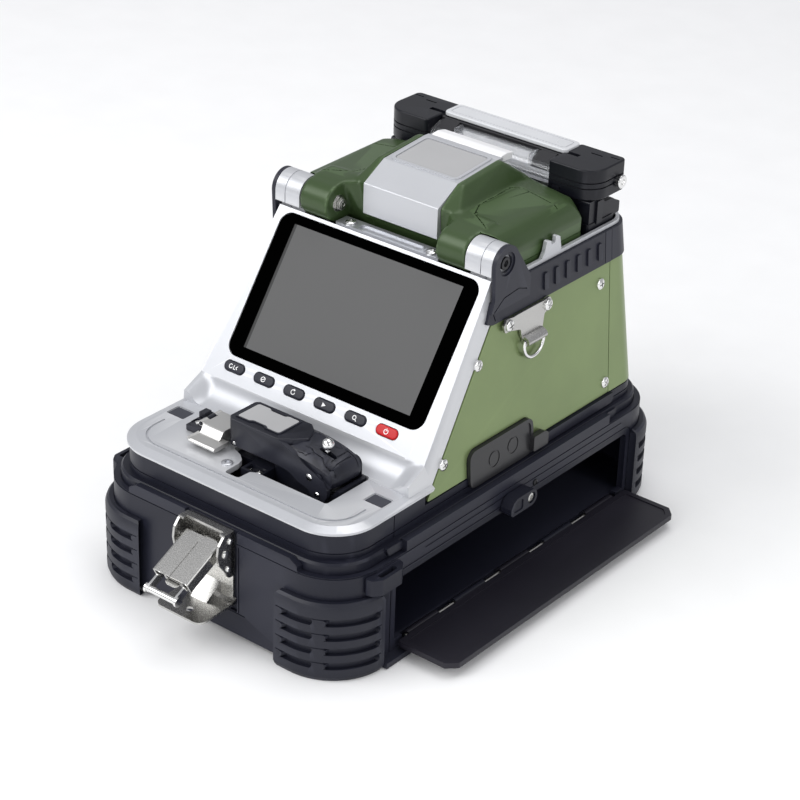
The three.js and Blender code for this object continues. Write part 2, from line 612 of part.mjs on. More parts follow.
function heaterLidBar() {
  const shape = outline([
    [87, 189.5], [87, 193], [89, 194.3], [101, 194.3], [103, 192.6], [103, 189.5]]);
  return alongX(shape, -HEAT.x0 + GAP, HEAT.x0 - GAP);
}

function heaterWindow() {
  const shape = outline([
    [77.5, 184], [77.5, 187], [80, 190.5], [86.6, 192.5],
    [86.6, 190.6], [81, 188.6], [79.5, 186.4], [79.5, 184]]);
  return alongX(shape, -HEAT.x0 + GAP, HEAT.x0 - GAP);
}

// ---------------------------------------------------------------- straps and ports
const LUG_X = bodyHalfX(125) - 0.6;

function strapLug(side) {
  const plate = alongX(outline([
    [-1.5, 138], [1, 143.6], [6, 143.2], [30, 143.2], [36, 143.4], [38, 139], [35.5, 136.2], [32, 136.4],
    [32, 127.5], [13.5, 127.5], [12, 134.5], [4, 136.4], [0, 135.6]]), LUG_X + 0.9, LUG_X + 2.1);
  const hook = box(LUG_X + 0.9, LUG_X + 5.2, 15, 30.4, 124.6, 128);
  return onSide(cut(join(plate, hook), rod('y', LUG_X + 3.2, 20, 126.3, 1.2, 60, 12)), side);
}

// D-ring hanging through the hook of the lug
function dRing(side) {
  const wire = 1.3;
  const bow = (r, top) => {
    const shape = new THREE.Shape();
    shape.moveTo(22.7 - r, top);
    shape.lineTo(22.7 - r, 124);
    shape.absarc(22.7, 124, r, Math.PI, 2 * Math.PI, false);
    shape.lineTo(22.7 + r, top);
    return shape;
  };
  const middle = LUG_X + 3.2;
  return onSide(cut(
    alongX(bow(9.6, 126.95), middle - wire / 2, middle + wire / 2, 10),
    alongX(bow(9.6 - wire, 126.95 - wire), middle - 5, middle + 5, 10)), side);
}

function portCover() {
  const plate = common(
    alongX(rounded(PORT.y0, PORT.y1, 62, PORT.z1, 1, PORT.r), 50, 90),
    cut(bodyPrism(1.4), bodyPrism(-0.2)));
  const tab = box(75.6, 78.8, PORT.y1 - 1, 33, 64, 70);
  return cut(join(plate, tab), box(0, COLLAR.halfX + GAP, -FAR, FAR, 0, 68.2));
}

// ---------------------------------------------------------------- cleaver
function cleaverBase() {
  const { pivotX, pivotZ, y0, y1 } = CLEAVER;
  const tub = box(-6.5, 48, -104.6, -73.2, 62, 75.5);
  const ramp = box(6, 47, y0 - 0.5, y1 + 0.6, 75, 77.5);
  const ear = (a, b) => alongY(rounded(pivotX - 8, pivotX + 8, 75, pivotZ + 5, 1, 4), a, b);
  return cut(join(tub, ramp, ear(y0 - 4.5, y0 - GAP), ear(y1 + GAP, y1 + 0.9)),
    rod('y', pivotX, -85, pivotZ, 2.1, 60, 12),
    rod('y', pivotX, (y0 + y1) / 2, pivotZ, 9, y1 - y0 + 2 * GAP, 24));
}

function cleaverArm() {
  const { pivotX, pivotZ, y0, y1, top, x0 } = CLEAVER;
  const side = new THREE.Shape();
  side.moveTo(x0 + 2, 79.5);
  side.lineTo(26, 79.5);
  side.absarc(pivotX, pivotZ, 8.6, THREE.MathUtils.degToRad(-140), THREE.MathUtils.degToRad(60), false);
  side.lineTo(30, top - 1.5);
  side.lineTo(8, top);
  side.lineTo(x0 + 3, top);
  side.lineTo(x0, top - 4);
  side.lineTo(x0, 82);
  const gap = SLIDER.stem + GAP;
  const slot = box(SLIDER.x0, SLIDER.x1, SLIDER.y - gap, SLIDER.y + gap, SLIDER.floor, FAR);
  const pin = rod('y', pivotX, (y0 + y1) / 2 - 1.5, pivotZ, 1.8, y1 - y0 + 9, 12);
  const body = cut(alongY(side, y0, y1, 4), slot, box(pivotX - 10, 60, -FAR, FAR, 60, 78.2));
  return join(body, pin);
}

// knob that slides along the slot of the arm
function cleaverKnob() {
  const ball = new THREE.SphereGeometry(SLIDER.r, 14, 8);
  ball.rotateX(Math.PI / 2);
  ball.translate(SLIDER.x, SLIDER.y, SLIDER.z);
  const foot = SLIDER.floor + GAP;
  return join(solidOf(ball),
    rod('z', SLIDER.x, SLIDER.y, (SLIDER.z + foot) / 2, SLIDER.stem, SLIDER.z - foot, 10));
}

// seat of the clamp, with the middle knuckle and the pin of its hinge
function cleaverSeat() {
  const { x, z, r, pin, y0, y1, knuckle } = CLAMP;
  const block = box(-50, x + 1.3, y0, y1, DECK.top + GAP, z - r - GAP);
  const barrel = rod('y', x, (y0 + y1) / 2, z, r, knuckle, 12);
  const neck = box(x - r, x + r, (y0 + y1 - knuckle) / 2, (y0 + y1 + knuckle) / 2, z - r - 1, z);
  return join(block, barrel, neck, rod('y', x, (y0 + y1) / 2, z, pin, y1 - y0, 10));
}

function cleaverClamp() {
  const { x, z, r, pin, y0, y1, knuckle } = CLAMP;
  const [left, right, under, step, top] = [-38, -24.8, 79.2, 81.4, 85.4];
  const low = box(left, -21.2, -108, -97.2, under, step);
  const high = box(left, right, -98, -82, under, top);
  const rise = hull([left, right].flatMap((edge) => [
    [edge, -99, under], [edge, -96, under], [edge, -100, step], [edge, -96, top]]));
  const ears = cut(
    join(rod('y', x, (y0 + y1) / 2, z, r, y1 - y0 - 1, 12),
      box(x, left + 0.5, y0 + 0.5, y1 - 0.5, z - 0.8, z + 1.2)),
    box(-60, left - 0.2, (y0 + y1 - knuckle) / 2 - GAP, (y0 + y1 + knuckle) / 2 + GAP, 0, FAR));
  return cut(join(low, high, rise, ears), rod('y', x, -88, z, pin + GAP, 60, 12));
}

// ---------------------------------------------------------------- assembly
piece('base_case', baseCase(), 'case_plastic');
piece('base_collar', baseCollar(), 'case_plastic');
piece('corner_bumper_front_left', cornerBumper(-1, -1), 'rubber');
piece('corner_bumper_front_right', cornerBumper(1, -1), 'rubber');
piece('corner_bumper_rear_left', cornerBumper(-1, 1), 'rubber');
piece('corner_bumper_rear_right', cornerBumper(1, 1), 'rubber');
piece('side_flap', sideFlap(), 'case_plastic');
piece('flap_hinge_pin', rod('y', FLAP.axisX, 5, FLAP.axisZ, FLAP_PIN_R, 176, 12), 'steel');
piece('flap_knob', flapKnob(), 'case_plastic');
piece('latch_base_plate', latchBasePlate(), 'steel');
piece('latch_bracket', latchBracket(), 'steel');
piece('latch_lever', latchLever(), 'steel');
piece('latch_bail', latchBail(), 'steel');
piece('front_frame', frontFrame(), 'silver_paint');
piece('display_bezel', displayBezel(), 'glass_black');
piece('lcd_module', lcdModule(), 'screen');
for (let i = 0; i < KEY.count; i += 1) {
  piece(`key_${i + 1}`, keyCap(i), i === KEY.count - 1 ? 'key_red' : 'key_plastic');
}
piece('crossbar', crossbar(), 'silver_paint');
piece('rear_panel', rearPanel(), 'green_anodised');
piece('rear_trim', rearTrim(), 'trim_plastic');
piece('top_rail', topRail(), 'silver_paint');
for (const [name, side] of [['left', -1], ['right', 1]]) {
  piece(`side_panel_${name}`, sidePanel(side), 'green_anodised');
  piece(`side_trim_${name}`, sideTrim(side), 'trim_plastic');
  piece(`hinge_block_${name}`, hingeBlock(side), 'silver_paint');
  piece(`hinge_pin_${name}`, hingePin(side), 'steel');
  piece(`strap_lug_${name}`, strapLug(side), 'steel');
  piece(`d_ring_${name}`, dRing(side), 'steel');
  piece(`fibre_holder_${name}`, fibreHolder(side), 'aluminium');
  piece(`heater_lid_${name}`, heaterLidEnd(side), 'trim_plastic');
}
piece('wind_cover', windCover(), 'green_paint');
piece('wind_cover_centre', windCoverCentre(), 'silver_paint');
piece('work_deck', workDeck(), 'trim_plastic');
piece('v_groove_block', vGrooveBlock(), 'aluminium');
piece('electrode_front', electrode(22, 36.5, 40), 'steel');
piece('electrode_rear', electrode(45.5, 60, 42), 'steel');
piece('camera_module', cameraModule(), 'trim_plastic');
piece('battery_pack', box(-76, -36, -80, 80, 7, 44), 'battery');
piece('heater_base', heaterBase(), 'trim_plastic');
piece('heater_plate', heaterPlate(), 'aluminium');
piece('heater_lid_bar', heaterLidBar(), 'aluminium');
piece('heater_window', heaterWindow(), 'clear');
piece('port_cover', portCover(), 'port_rubber');
piece('cleaver_base', cleaverBase(), 'trim_plastic');
piece('cleaver_arm', cleaverArm(), 'trim_plastic');
piece('cleaver_knob', cleaverKnob(), 'steel');
piece('cleaver_seat', cleaverSeat(), 'trim_plastic');
piece('cleaver_clamp', cleaverClamp(), 'steel');

// the origin sits under the middle of the bounding box, on the resting plane
const bounds = new THREE.Box3().setFromObject(splicer);
const middle = bounds.getCenter(new THREE.Vector3());
for (const mesh of splicer.children) mesh.geometry.translate(-middle.x, -middle.y, -bounds.min.z);

export default splicer;
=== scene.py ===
"""Fiber fusion splicer: the visual model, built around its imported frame.

Solids are drawn in millimetres in the machine's own frame (X = 0 and Y = 0 at the middle of
the base case, Z = 0 on the ground, front towards -Y) and are turned into metres in the row
frame when each one becomes a piece.
"""
import math

import bmesh
import bpy
from mathutils import Matrix, Vector


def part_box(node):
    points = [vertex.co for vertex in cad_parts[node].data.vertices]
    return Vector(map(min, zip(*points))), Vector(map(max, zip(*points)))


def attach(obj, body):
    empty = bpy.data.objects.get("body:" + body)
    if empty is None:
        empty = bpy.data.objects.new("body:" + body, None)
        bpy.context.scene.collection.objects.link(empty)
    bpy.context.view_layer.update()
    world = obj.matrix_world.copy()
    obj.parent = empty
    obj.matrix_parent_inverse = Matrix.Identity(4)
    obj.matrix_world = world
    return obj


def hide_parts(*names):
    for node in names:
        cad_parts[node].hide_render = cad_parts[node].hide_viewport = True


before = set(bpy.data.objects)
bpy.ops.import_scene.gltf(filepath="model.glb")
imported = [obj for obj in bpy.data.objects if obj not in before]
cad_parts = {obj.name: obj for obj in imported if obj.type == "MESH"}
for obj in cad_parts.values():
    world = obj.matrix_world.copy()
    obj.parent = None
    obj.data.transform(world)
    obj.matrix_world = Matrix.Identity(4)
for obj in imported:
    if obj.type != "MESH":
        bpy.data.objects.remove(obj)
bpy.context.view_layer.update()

case_low, case_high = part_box("base_case")
MM = 0.001
MIDDLE = Vector(((case_low.x + case_high.x) / 2, (case_low.y + case_high.y) / 2, 0))
TO_ROW = Matrix.Translation(MIDDLE) @ Matrix.Scale(MM, 4)

# ------------------------------------------------------------------ driving dimensions
FAR = 400
GAP = 0.3
CASE_X, CASE_Y, CASE_R = 82, 133, 28
CASE_BOTTOM, CASE_TOP, CASE_WALL = 3, 60.8, 3.5
NOTCH_X, NOTCH_Y, NOTCH_Z = 55, 84.5, 55
OPEN_Y0, OPEN_Y1, OPEN_Z0, OPEN_Z1 = -92, 102, 8.4, 42.5
BUMPER_OUT, BUMPER_TOP = 4.6, 43
BUMPER_X, BUMPER_Y = 44.5, 105
DECK_X, DECK_FRONT, DECK_R, DECK_TOP, DECK_UNDER = 76, -126.9, 24.4, 77, 74.1
SLOPE_ANGLE, SLOPE_Y, SLOPE_Z = math.radians(55.1), -50.4, 104.6
LIP, SLOPE_TOP, CHEEK = -19.5, 74.4, 11.8
COVE_Y = -76.7
BEZEL_X, BEZEL_V0, BEZEL_V1, BEZEL_R = 63.4, -5.8, 72.3, 7
SCREEN_X, SCREEN_V = 54, 67.5
KEYS, KEY_PITCH, KEY_CENTRE, KEY_V, KEY_W, KEY_H = 6, 19.95, -4.1, -11.4, 6.6, 2.7
PANEL_Z0, PANEL_Z1, SEAM_Y = 68.5, 143, 92
TRIM_Z0, TRIM_Z1 = 143.3, 160.8
HINGE_Y, HINGE_Z, HINGE_R = -0.5, 173.5, 9.4
BLOCK_X0, BLOCK_X1 = 53, 68.9
EAR_X0, EAR_X1 = 35, 52.4


# ------------------------------------------------------------------ outlines
def arc(x, y, radius, start, end, step=6):
    """Points of an arc, angles in degrees."""
    count = max(2, round(abs(end - start) / step))
    angles = [math.radians(start + (end - start) * i / count) for i in range(count + 1)]
    return [(x + radius * math.cos(a), y + radius * math.sin(a)) for a in angles]


def circle(x, y, radius, sides=48):
    return arc(x, y, radius, 0, 360, 360 / sides)[:-1]


def rounded(x0, x1, y0, y1, front, rear=None):
    """A rectangle with round corners; those at the low end may differ from the high end."""
    rear = front if rear is None else rear
    return (arc(x1 - front, y0 + front, front, -90, 0) + arc(x1 - rear, y1 - rear, rear, 0, 90)
            + arc(x0 + rear, y1 - rear, rear, 90, 180) + arc(x0 + front, y0 + front, front, 180, 270))


def corner_cut(points, radius, step=15):
    """The same polygon with every corner rounded."""
    result = []
    for i, point in enumerate(points):
        here = Vector(point)
        before = Vector(points[i - 1]) - here
        after = Vector(points[(i + 1) % len(points)]) - here
        half = before.angle(after) / 2
        reach = min(radius / math.tan(half), before.length * 0.45, after.length * 0.45)
        start, end = here + before.normalized() * reach, here + after.normalized() * reach
        count = max(2, round((180 - math.degrees(half) * 2) / step))
        for k in range(count + 1):
            t = k / count
            result.append(tuple(start * (1 - t) ** 2 + here * (2 * t * (1 - t)) + end * t * t))
    return result


# ------------------------------------------------------------------ solids
AXES = {"x": lambda a, b, c: (c, a, b), "y": lambda a, b, c: (a, c, b), "z": lambda a, b, c: (a, b, c)}


def from_bmesh(bm):
    bmesh.ops.recalc_face_normals(bm, faces=bm.faces)
    mesh = bpy.data.meshes.new("solid")
    bm.to_mesh(mesh)
    bm.free()
    obj = bpy.data.objects.new("solid", mesh)
    bpy.context.scene.collection.objects.link(obj)
    return obj


def rings_solid(rings, closed=False):
    """A skin over rings of points, all with the same count."""
    bm = bmesh.new()
    loops = [[bm.verts.new(p) for p in ring] for ring in rings]
    pairs = list(zip(loops, loops[1:])) + ([(loops[-1], loops[0])] if closed else [])
    count = len(loops[0])
    for low, high in pairs:
        for i in range(count):
            k = (i + 1) % count
            bm.faces.new((low[i], low[k], high[k], high[i]))
    if not closed:
        bm.faces.new(loops[0])
        bm.faces.new(loops[-1])
    return from_bmesh(bm)


def prism(outline, axis, start, end):
    place = AXES[axis]
    return rings_solid([[place(a, b, c) for a, b in outline] for c in (start, end)])


def loft(levels, axis="z"):
    """levels is a list of (outline, position along the axis)."""
    place = AXES[axis]
    return rings_solid([[place(a, b, c) for a, b in outline] for outline, c in levels])


def box(x0, x1, y0, y1, z0, z1):
    return prism([(x0, y0), (x1, y0), (x1, y1), (x0, y1)], "z", z0, z1)


def rod(axis, x, y, z, radius, length, sides=40):
    a, b, c = {"x": (y, z, x), "y": (x, z, y), "z": (x, y, z)}[axis]
    return prism(circle(a, b, radius, sides), axis, c - length / 2, c + length / 2)


def turned_profile(profile, sides=32):
    """Revolves (radius, height) points about +Z; the first and last lie on the axis."""
    bm = bmesh.new()
    loops = []
    for radius, height in profile:
        if radius < 1e-6:
            loops.append([bm.verts.new((0, 0, height))] * sides)
        else:
            loops.append([bm.verts.new((x, y, height)) for x, y in circle(0, 0, radius, sides)])
    for low, high in zip(loops, loops[1:]):
        for i in range(sides):
            k = (i + 1) % sides
            corners = list(dict.fromkeys((low[i], low[k], high[k], high[i])))
            bm.faces.new(corners)
    return from_bmesh(bm)


def hull(points):
    bm = bmesh.new()
    for point in points:
        bm.verts.new(point)
    result = bmesh.ops.convex_hull(bm, input=bm.verts)
    loose = [v for v in bm.verts if not v.link_faces]
    bmesh.ops.delete(bm, geom=loose, context="VERTS")
    return from_bmesh(bm)


def wire(points, radius, closed=False, sides=14):
    """A round bar along a line of points."""
    path = [Vector(p) for p in points]
    rings = []
    normal = None
    for i, here in enumerate(path):
        before = path[i - 1] if i or closed else here
        after = path[(i + 1) % len(path)] if i < len(path) - 1 or closed else here
        along = (after - before).normalized()
        if normal is None:
            normal = along.orthogonal().normalized()
        normal = (normal - along * normal.dot(along)).normalized()
        across = along.cross(normal)
        rings.append([here + normal * (radius * math.cos(a)) + across * (radius * math.sin(a))
                      for a in (2 * math.pi * k / sides for k in range(sides))])
    return rings_solid(rings, closed)


# ------------------------------------------------------------------ joining and cutting
def discard(obj):
    mesh = obj.data
    bpy.data.objects.remove(obj)
    bpy.data.meshes.remove(mesh)


def boolean(operation, base, tools):
    for tool in tools:
        step = base.modifiers.new("boolean", "BOOLEAN")
        step.operation = operation
        step.solver = "MANIFOLD"
        step.object = tool
    bpy.context.view_layer.update()
    graph = bpy.context.evaluated_depsgraph_get()
    mesh = bpy.data.meshes.new_from_object(base.evaluated_get(graph))
    base.modifiers.clear()
    old = base.data
    base.data = mesh
    bpy.data.meshes.remove(old)
    for tool in tools:
        discard(tool)
    if not mesh.polygons:
        raise ValueError("a boolean left nothing")
    return base


def join(base, *tools):
    return boolean("UNION", base, tools)


def cut(base, *tools):
    return boolean("DIFFERENCE", base, tools)


def common(base, *tools):
    return boolean("INTERSECT", base, tools)


def copied(obj):
    twin = bpy.data.objects.new("solid", obj.data.copy())
    bpy.context.scene.collection.objects.link(twin)
    return twin


def moved(obj, x=0, y=0, z=0):
    obj.data.transform(Matrix.Translation((x, y, z)))
    return obj


def turned(obj, axis, degrees, centre):
    there = Matrix.Translation(Vector(centre))
    obj.data.transform(there @ Matrix.Rotation(math.radians(degrees), 4, axis.upper()) @ there.inverted())
    return obj


def mirrored(obj):
    twin = copied(obj)
    twin.data.transform(Matrix.Scale(-1, 4, (1, 0, 0)))
    twin.data.flip_normals()
    return twin


def on_side(obj, side):
    if side > 0:
        return obj
    twin = mirrored(obj)
    discard(obj)
    return twin


def both(obj):
    return obj, mirrored(obj)


def on_slope(obj):
    """From the sloping face's own frame (u across, v up the slope, w out of it)."""
    obj.data.transform(Matrix.Translation((0, SLOPE_Y, SLOPE_Z)) @ Matrix.Rotation(SLOPE_ANGLE, 4, "X"))
    return obj


def slope_point(v, w=0.0):
    return (SLOPE_Y + v * math.cos(SLOPE_ANGLE) - w * math.sin(SLOPE_ANGLE),
            SLOPE_Z + v * math.sin(SLOPE_ANGLE) + w * math.cos(SLOPE_ANGLE))


def slope_at(z, w=0.0):
    return slope_point((z - SLOPE_Z - w * math.cos(SLOPE_ANGLE)) / math.sin(SLOPE_ANGLE), w)


def facing(obj, centre, normal):
    """Stands an object drawn about the origin, pointing up +Z, at a place and along a normal."""
    turn = Vector((0, 0, 1)).rotation_difference(Vector(normal)).to_matrix().to_4x4()
    obj.data.transform(Matrix.Translation(Vector(centre)) @ turn)
    return obj


def etched(solid, lines, depth=0.45, direction=(0, 0, -1)):
    """Cuts thin lines into a surface: the lines are tall solids, and only their skin is cut."""
    inner = copied(solid)
    inner.data.transform(Matrix.Translation(Vector(direction) * depth))
    skin = cut(copied(solid), inner)
    return cut(solid, *[common(line, copied(skin)) for line in lines[:-1]], common(lines[-1], skin))


def line_band(points, width=0.6):
    """The outline of a thin band along a line of (a, b) points."""
    path = [Vector(p) for p in points]
    left, right = [], []
    for i, here in enumerate(path):
        before = (here - path[i - 1]).normalized() if i else None
        after = (path[i + 1] - here).normalized() if i < len(path) - 1 else None
        along = (before or after) if before is None or after is None else (before + after).normalized()
        across = Vector((-along.y, along.x))
        stretch = 1.0 if before is None or after is None else 1 / max(0.4, along.dot(after))
        left.append(tuple(here + across * width / 2 * stretch))
        right.append(tuple(here - across * width / 2 * stretch))
    return left + right[::-1]


# ------------------------------------------------------------------ looks
def surface(name, colour, roughness, metallic=0.0, grain=1800, bump=0.12, mottle=0.08, wear=0.0,
            brushed=None, specular=0.5, coat=0.0):
    """A procedural finish: large soft mottling, a fine grain in the bump, and rubbed edges."""
    look = bpy.data.materials.new(name)
    look.use_nodes = True
    nodes, links = look.node_tree.nodes, look.node_tree.links
    shader = nodes["Principled BSDF"]
    shader.inputs["Metallic"].default_value = metallic
    shader.inputs["Specular IOR Level"].default_value = specular
    shader.inputs["Coat Weight"].default_value = coat
    shader.inputs["Coat Roughness"].default_value = 0.12
    place = nodes.new("ShaderNodeTexCoord")
    stretch = nodes.new("ShaderNodeMapping")
    stretch.inputs["Scale"].default_value = brushed or (1, 1, 1)
    links.new(place.outputs["Object"], stretch.inputs["Vector"])

    def noise_at(scale, detail=3.0, source=None):
        node = nodes.new("ShaderNodeTexNoise")
        node.inputs["Scale"].default_value = scale
        node.inputs["Detail"].default_value = detail
        links.new((source or place.outputs["Object"]), node.inputs["Vector"])
        return node.outputs["Fac"]

    soft = noise_at(28)
    fine = noise_at(grain, 2.0, stretch.outputs["Vector"])
    tone = nodes.new("ShaderNodeMapRange")
    tone.inputs["From Min"].default_value, tone.inputs["From Max"].default_value = 0.3, 0.7
    tone.inputs["To Min"].default_value, tone.inputs["To Max"].default_value = 1 - mottle, 1 + mottle
    links.new(soft, tone.inputs["Value"])
    shade = nodes.new("ShaderNodeVectorMath")
    shade.operation = "SCALE"
    shade.inputs[0].default_value = colour
    links.new(tone.outputs["Result"], shade.inputs["Scale"])
    final = shade.outputs["Vector"]
    if wear:
        edge = nodes.new("ShaderNodeNewGeometry")
        ramp = nodes.new("ShaderNodeMapRange")
        ramp.inputs["From Min"].default_value, ramp.inputs["From Max"].default_value = 0.52, 0.62
        ramp.inputs["To Max"].default_value = wear
        links.new(edge.outputs["Pointiness"], ramp.inputs["Value"])
        mix = nodes.new("ShaderNodeMix")
        mix.data_type = "RGBA"
        links.new(ramp.outputs["Result"], mix.inputs["Factor"])
        links.new(final, mix.inputs["A"])
        mix.inputs["B"].default_value = (*[min(1.0, c * 2.2 + 0.02) for c in colour], 1)
        final = mix.outputs["Result"]
    links.new(final, shader.inputs["Base Color"])
    rough = nodes.new("ShaderNodeMapRange")
    rough.inputs["To Min"].default_value = max(0.02, roughness - 0.06)
    rough.inputs["To Max"].default_value = min(1.0, roughness + 0.06)
    links.new(fine if brushed else soft, rough.inputs["Value"])
    links.new(rough.outputs["Result"], shader.inputs["Roughness"])
    if bump:
        relief = nodes.new("ShaderNodeBump")
        relief.inputs["Strength"].default_value = bump
        relief.inputs["Distance"].default_value = 0.00008
        links.new(fine, relief.inputs["Height"])
        links.new(relief.outputs["Normal"], shader.inputs["Normal"])
    look.diffuse_color = (*colour, 1)
    return look


CASE = surface("case_plastic", (0.0095, 0.0103, 0.0185), 0.40, grain=2400, bump=0.16, wear=0.35,
               specular=0.27)
RUBBER = surface("bumper_rubber", (0.0105, 0.0115, 0.020), 0.46, grain=1500, bump=0.14, wear=0.3,
                 specular=0.34)
TRIM = surface("trim_plastic", (0.0135, 0.0145, 0.024), 0.42, grain=2400, bump=0.14, wear=0.3,
               specular=0.34)
SILVER = surface("silver_paint", (0.50, 0.51, 0.535), 0.34, metallic=0.35, grain=3000, bump=0.04,
                 mottle=0.015, wear=0.25)
GREEN = surface("green_panel", (0.185, 0.245, 0.105), 0.34, metallic=0.45, grain=3600, bump=0.05,
                mottle=0.07, wear=0.2)
OLIVE = surface("cover_paint", (0.042, 0.073, 0.026), 0.34, metallic=0.15, grain=3200, bump=0.06,
                mottle=0.05, wear=0.3, specular=0.4)
STEEL = surface("stainless", (0.50, 0.495, 0.48), 0.26, metallic=1.0, grain=900, bump=0.03,
                mottle=0.02, brushed=(1, 8, 1))
BRIGHT = surface("polished_screw", (0.80, 0.80, 0.79), 0.13, metallic=1.0, grain=2500, bump=0.03,
                 mottle=0.03)
BAR = surface("machined_bar", (0.55, 0.56, 0.59), 0.3, metallic=0.8, grain=1500, bump=0.06,
              mottle=0.04, brushed=(1, 12, 12))
BLACK = surface("bezel_gloss", (0.0004, 0.0004, 0.0004), 0.3, grain=3000, bump=0.01, specular=0.0)
GLASS = surface("screen_face", (0.112, 0.112, 0.112), 0.45, grain=4000, bump=0.01, mottle=0.01,
                specular=0.04)
# painted shadow: a darker grey for the shadow line where the recessed active area meets the bezel at the screen's
# left edge
PAINTED_SHADOW_SCREEN_EDGE = surface("painted_shadow_screen", (0.052, 0.052, 0.052), 0.45, grain=4000, bump=0.01, mottle=0.01,
                     specular=0.04)
KEY = surface("key_rubber", (0.0105, 0.0115, 0.020), 0.36, grain=2500, bump=0.08, wear=0.2,
              specular=0.3)
RED = surface("key_red", (0.50, 0.008, 0.012), 0.34, grain=2500, bump=0.06, wear=0.1, specular=0.3)
WHITE = surface("print_white", (0.86, 0.86, 0.86), 0.5, grain=2500, bump=0.02, mottle=0.02)
LABEL = surface("label_grey", (0.38, 0.38, 0.385), 0.55, grain=5000, bump=0.18, mottle=0.03)
PAD = surface("pad_dark", (0.030, 0.032, 0.044), 0.5, grain=2600, bump=0.12, mottle=0.05)
INNER = surface("inner_black", (0.008, 0.008, 0.011), 0.5, grain=2000, bump=0.08)
DOOR = surface("door_plastic", (0.0125, 0.0115, 0.018), 0.42, grain=2000, bump=0.2, wear=0.2,
               specular=0.32)
PORT = surface("port_rubber", (0.022, 0.022, 0.024), 0.3, grain=2000, bump=0.05, specular=0.4)
DARK_STEEL = surface("black_bolt", (0.02, 0.02, 0.023), 0.3, metallic=0.6, grain=1800, bump=0.05)
BRASS = surface("hinge_pin", (0.5, 0.49, 0.47), 0.3, metallic=1.0, grain=1800, bump=0.05)
SLEEVE = surface("battery_sleeve", (0.012, 0.013, 0.017), 0.45, grain=900, bump=0.1)
FROST = surface("frosted_bar", (0.62, 0.63, 0.65), 0.28, grain=2200, bump=0.06, mottle=0.05,
                specular=0.6, coat=0.4)


HEATER = surface("heater_plastic", (0.0045, 0.0050, 0.0085), 0.36, grain=2400, bump=0.12, wear=0.3,
                 specular=0.32)
CLEAVER = surface("cleaver_black", (0.0085, 0.0092, 0.0155), 0.34, metallic=0.1, grain=2600, bump=0.12,
                  wear=0.5, specular=0.36)
CLAMP_STEEL = surface("brushed_sheet", (0.55, 0.545, 0.53), 0.33, metallic=0.85, grain=900, bump=0.08,
                      mottle=0.04, brushed=(1, 8, 1))
TAB = surface("white_tab", (0.85, 0.85, 0.86), 0.3, grain=2500, bump=0.02, mottle=0.01, coat=0.3)


def clear_plastic():
    look = surface("clear_acrylic", (0.80, 0.82, 0.86), 0.06, grain=1500, bump=0.02, mottle=0.01)
    shader = look.node_tree.nodes["Principled BSDF"]
    shader.inputs["Transmission Weight"].default_value = 0.9
    shader.inputs["IOR"].default_value = 1.45
    shader.inputs["Alpha"].default_value = 0.55
    return look


CLEAR = clear_plastic()


# ------------------------------------------------------------------ from solids to pieces
def piece(name, obj, look, body="chassis", bevel=0.35, steps=2, limit=28, replaces=()):
    """Makes a solid a finished piece: cleaned, in the row frame, bevelled and riding on its body."""
    obj.name = name
    mesh = obj.data
    mesh.name = name
    mesh.transform(TO_ROW)
    bm = bmesh.new()
    bm.from_mesh(mesh)
    bmesh.ops.remove_doubles(bm, verts=bm.verts, dist=2e-6)
    bmesh.ops.dissolve_degenerate(bm, edges=bm.edges, dist=2e-6)
    bmesh.ops.dissolve_limit(bm, angle_limit=math.radians(0.4), verts=bm.verts, edges=bm.edges)
    bm.to_mesh(mesh)
    bm.free()
    mesh.materials.clear()
    mesh.materials.append(look)
    mesh.polygons.foreach_set("use_smooth", [True] * len(mesh.polygons))
    if bevel:
        edge = obj.modifiers.new("bevel", "BEVEL")
        edge.width = bevel * MM
        edge.segments = steps
        edge.limit_method = "ANGLE"
        edge.angle_limit = math.radians(limit)
        edge.harden_normals = True
        edge.miter_outer = "MITER_ARC"
    else:
        mesh.set_sharp_from_angle(angle=math.radians(limit))
    even = obj.modifiers.new("normals", "WEIGHTED_NORMAL")
    even.keep_sharp = True
    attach(obj, body)
    if replaces:
        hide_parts(*replaces)
    return obj


def carried(node):
    """A CAD node's own solid, back in millimetres, ready to be cut further."""
    twin = bpy.data.objects.new("solid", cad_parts[node].data.copy())
    bpy.context.scene.collection.objects.link(twin)
    twin.data.transform(TO_ROW.inverted())
    bm = bmesh.new()
    bm.from_mesh(twin.data)
    bmesh.ops.remove_doubles(bm, verts=bm.verts, dist=2e-3)
    bm.to_mesh(twin.data)
    bm.free()
    return twin


def pan_screw(name, centre, normal, radius=3.0, look=None, body="chassis", spin=0.0, flat=False):
    """A pan-head screw with a cross recess, or a flat head with a hexagon socket."""
    height = radius * (0.30 if flat else 0.52)
    dome = [(0, -0.6), (radius, -0.6), (radius, height * 0.35)]
    dome += [(radius * math.cos(a), height * 0.35 + height * 0.65 * math.sin(a))
             for a in (math.radians(d) for d in range(15, 90, 15))]
    dome += [(0, height)]
    head = turned_profile(dome, 40)
    if flat:
        recess = prism(circle(0, 0, radius * 0.5, 6), "z", height * 0.1, height + 1)
        head = cut(head, recess)
    else:
        arm, reach = radius * 0.11, radius * 0.6
        head = cut(head, box(-arm, arm, -reach, reach, height * 0.2, height + 1),
                   box(-reach, reach, -arm, arm, height * 0.2, height + 1))
    turned(head, "z", spin, (0, 0, 0))
    return piece(name, facing(head, centre, normal), look or BRIGHT, body, bevel=0.12, steps=1)


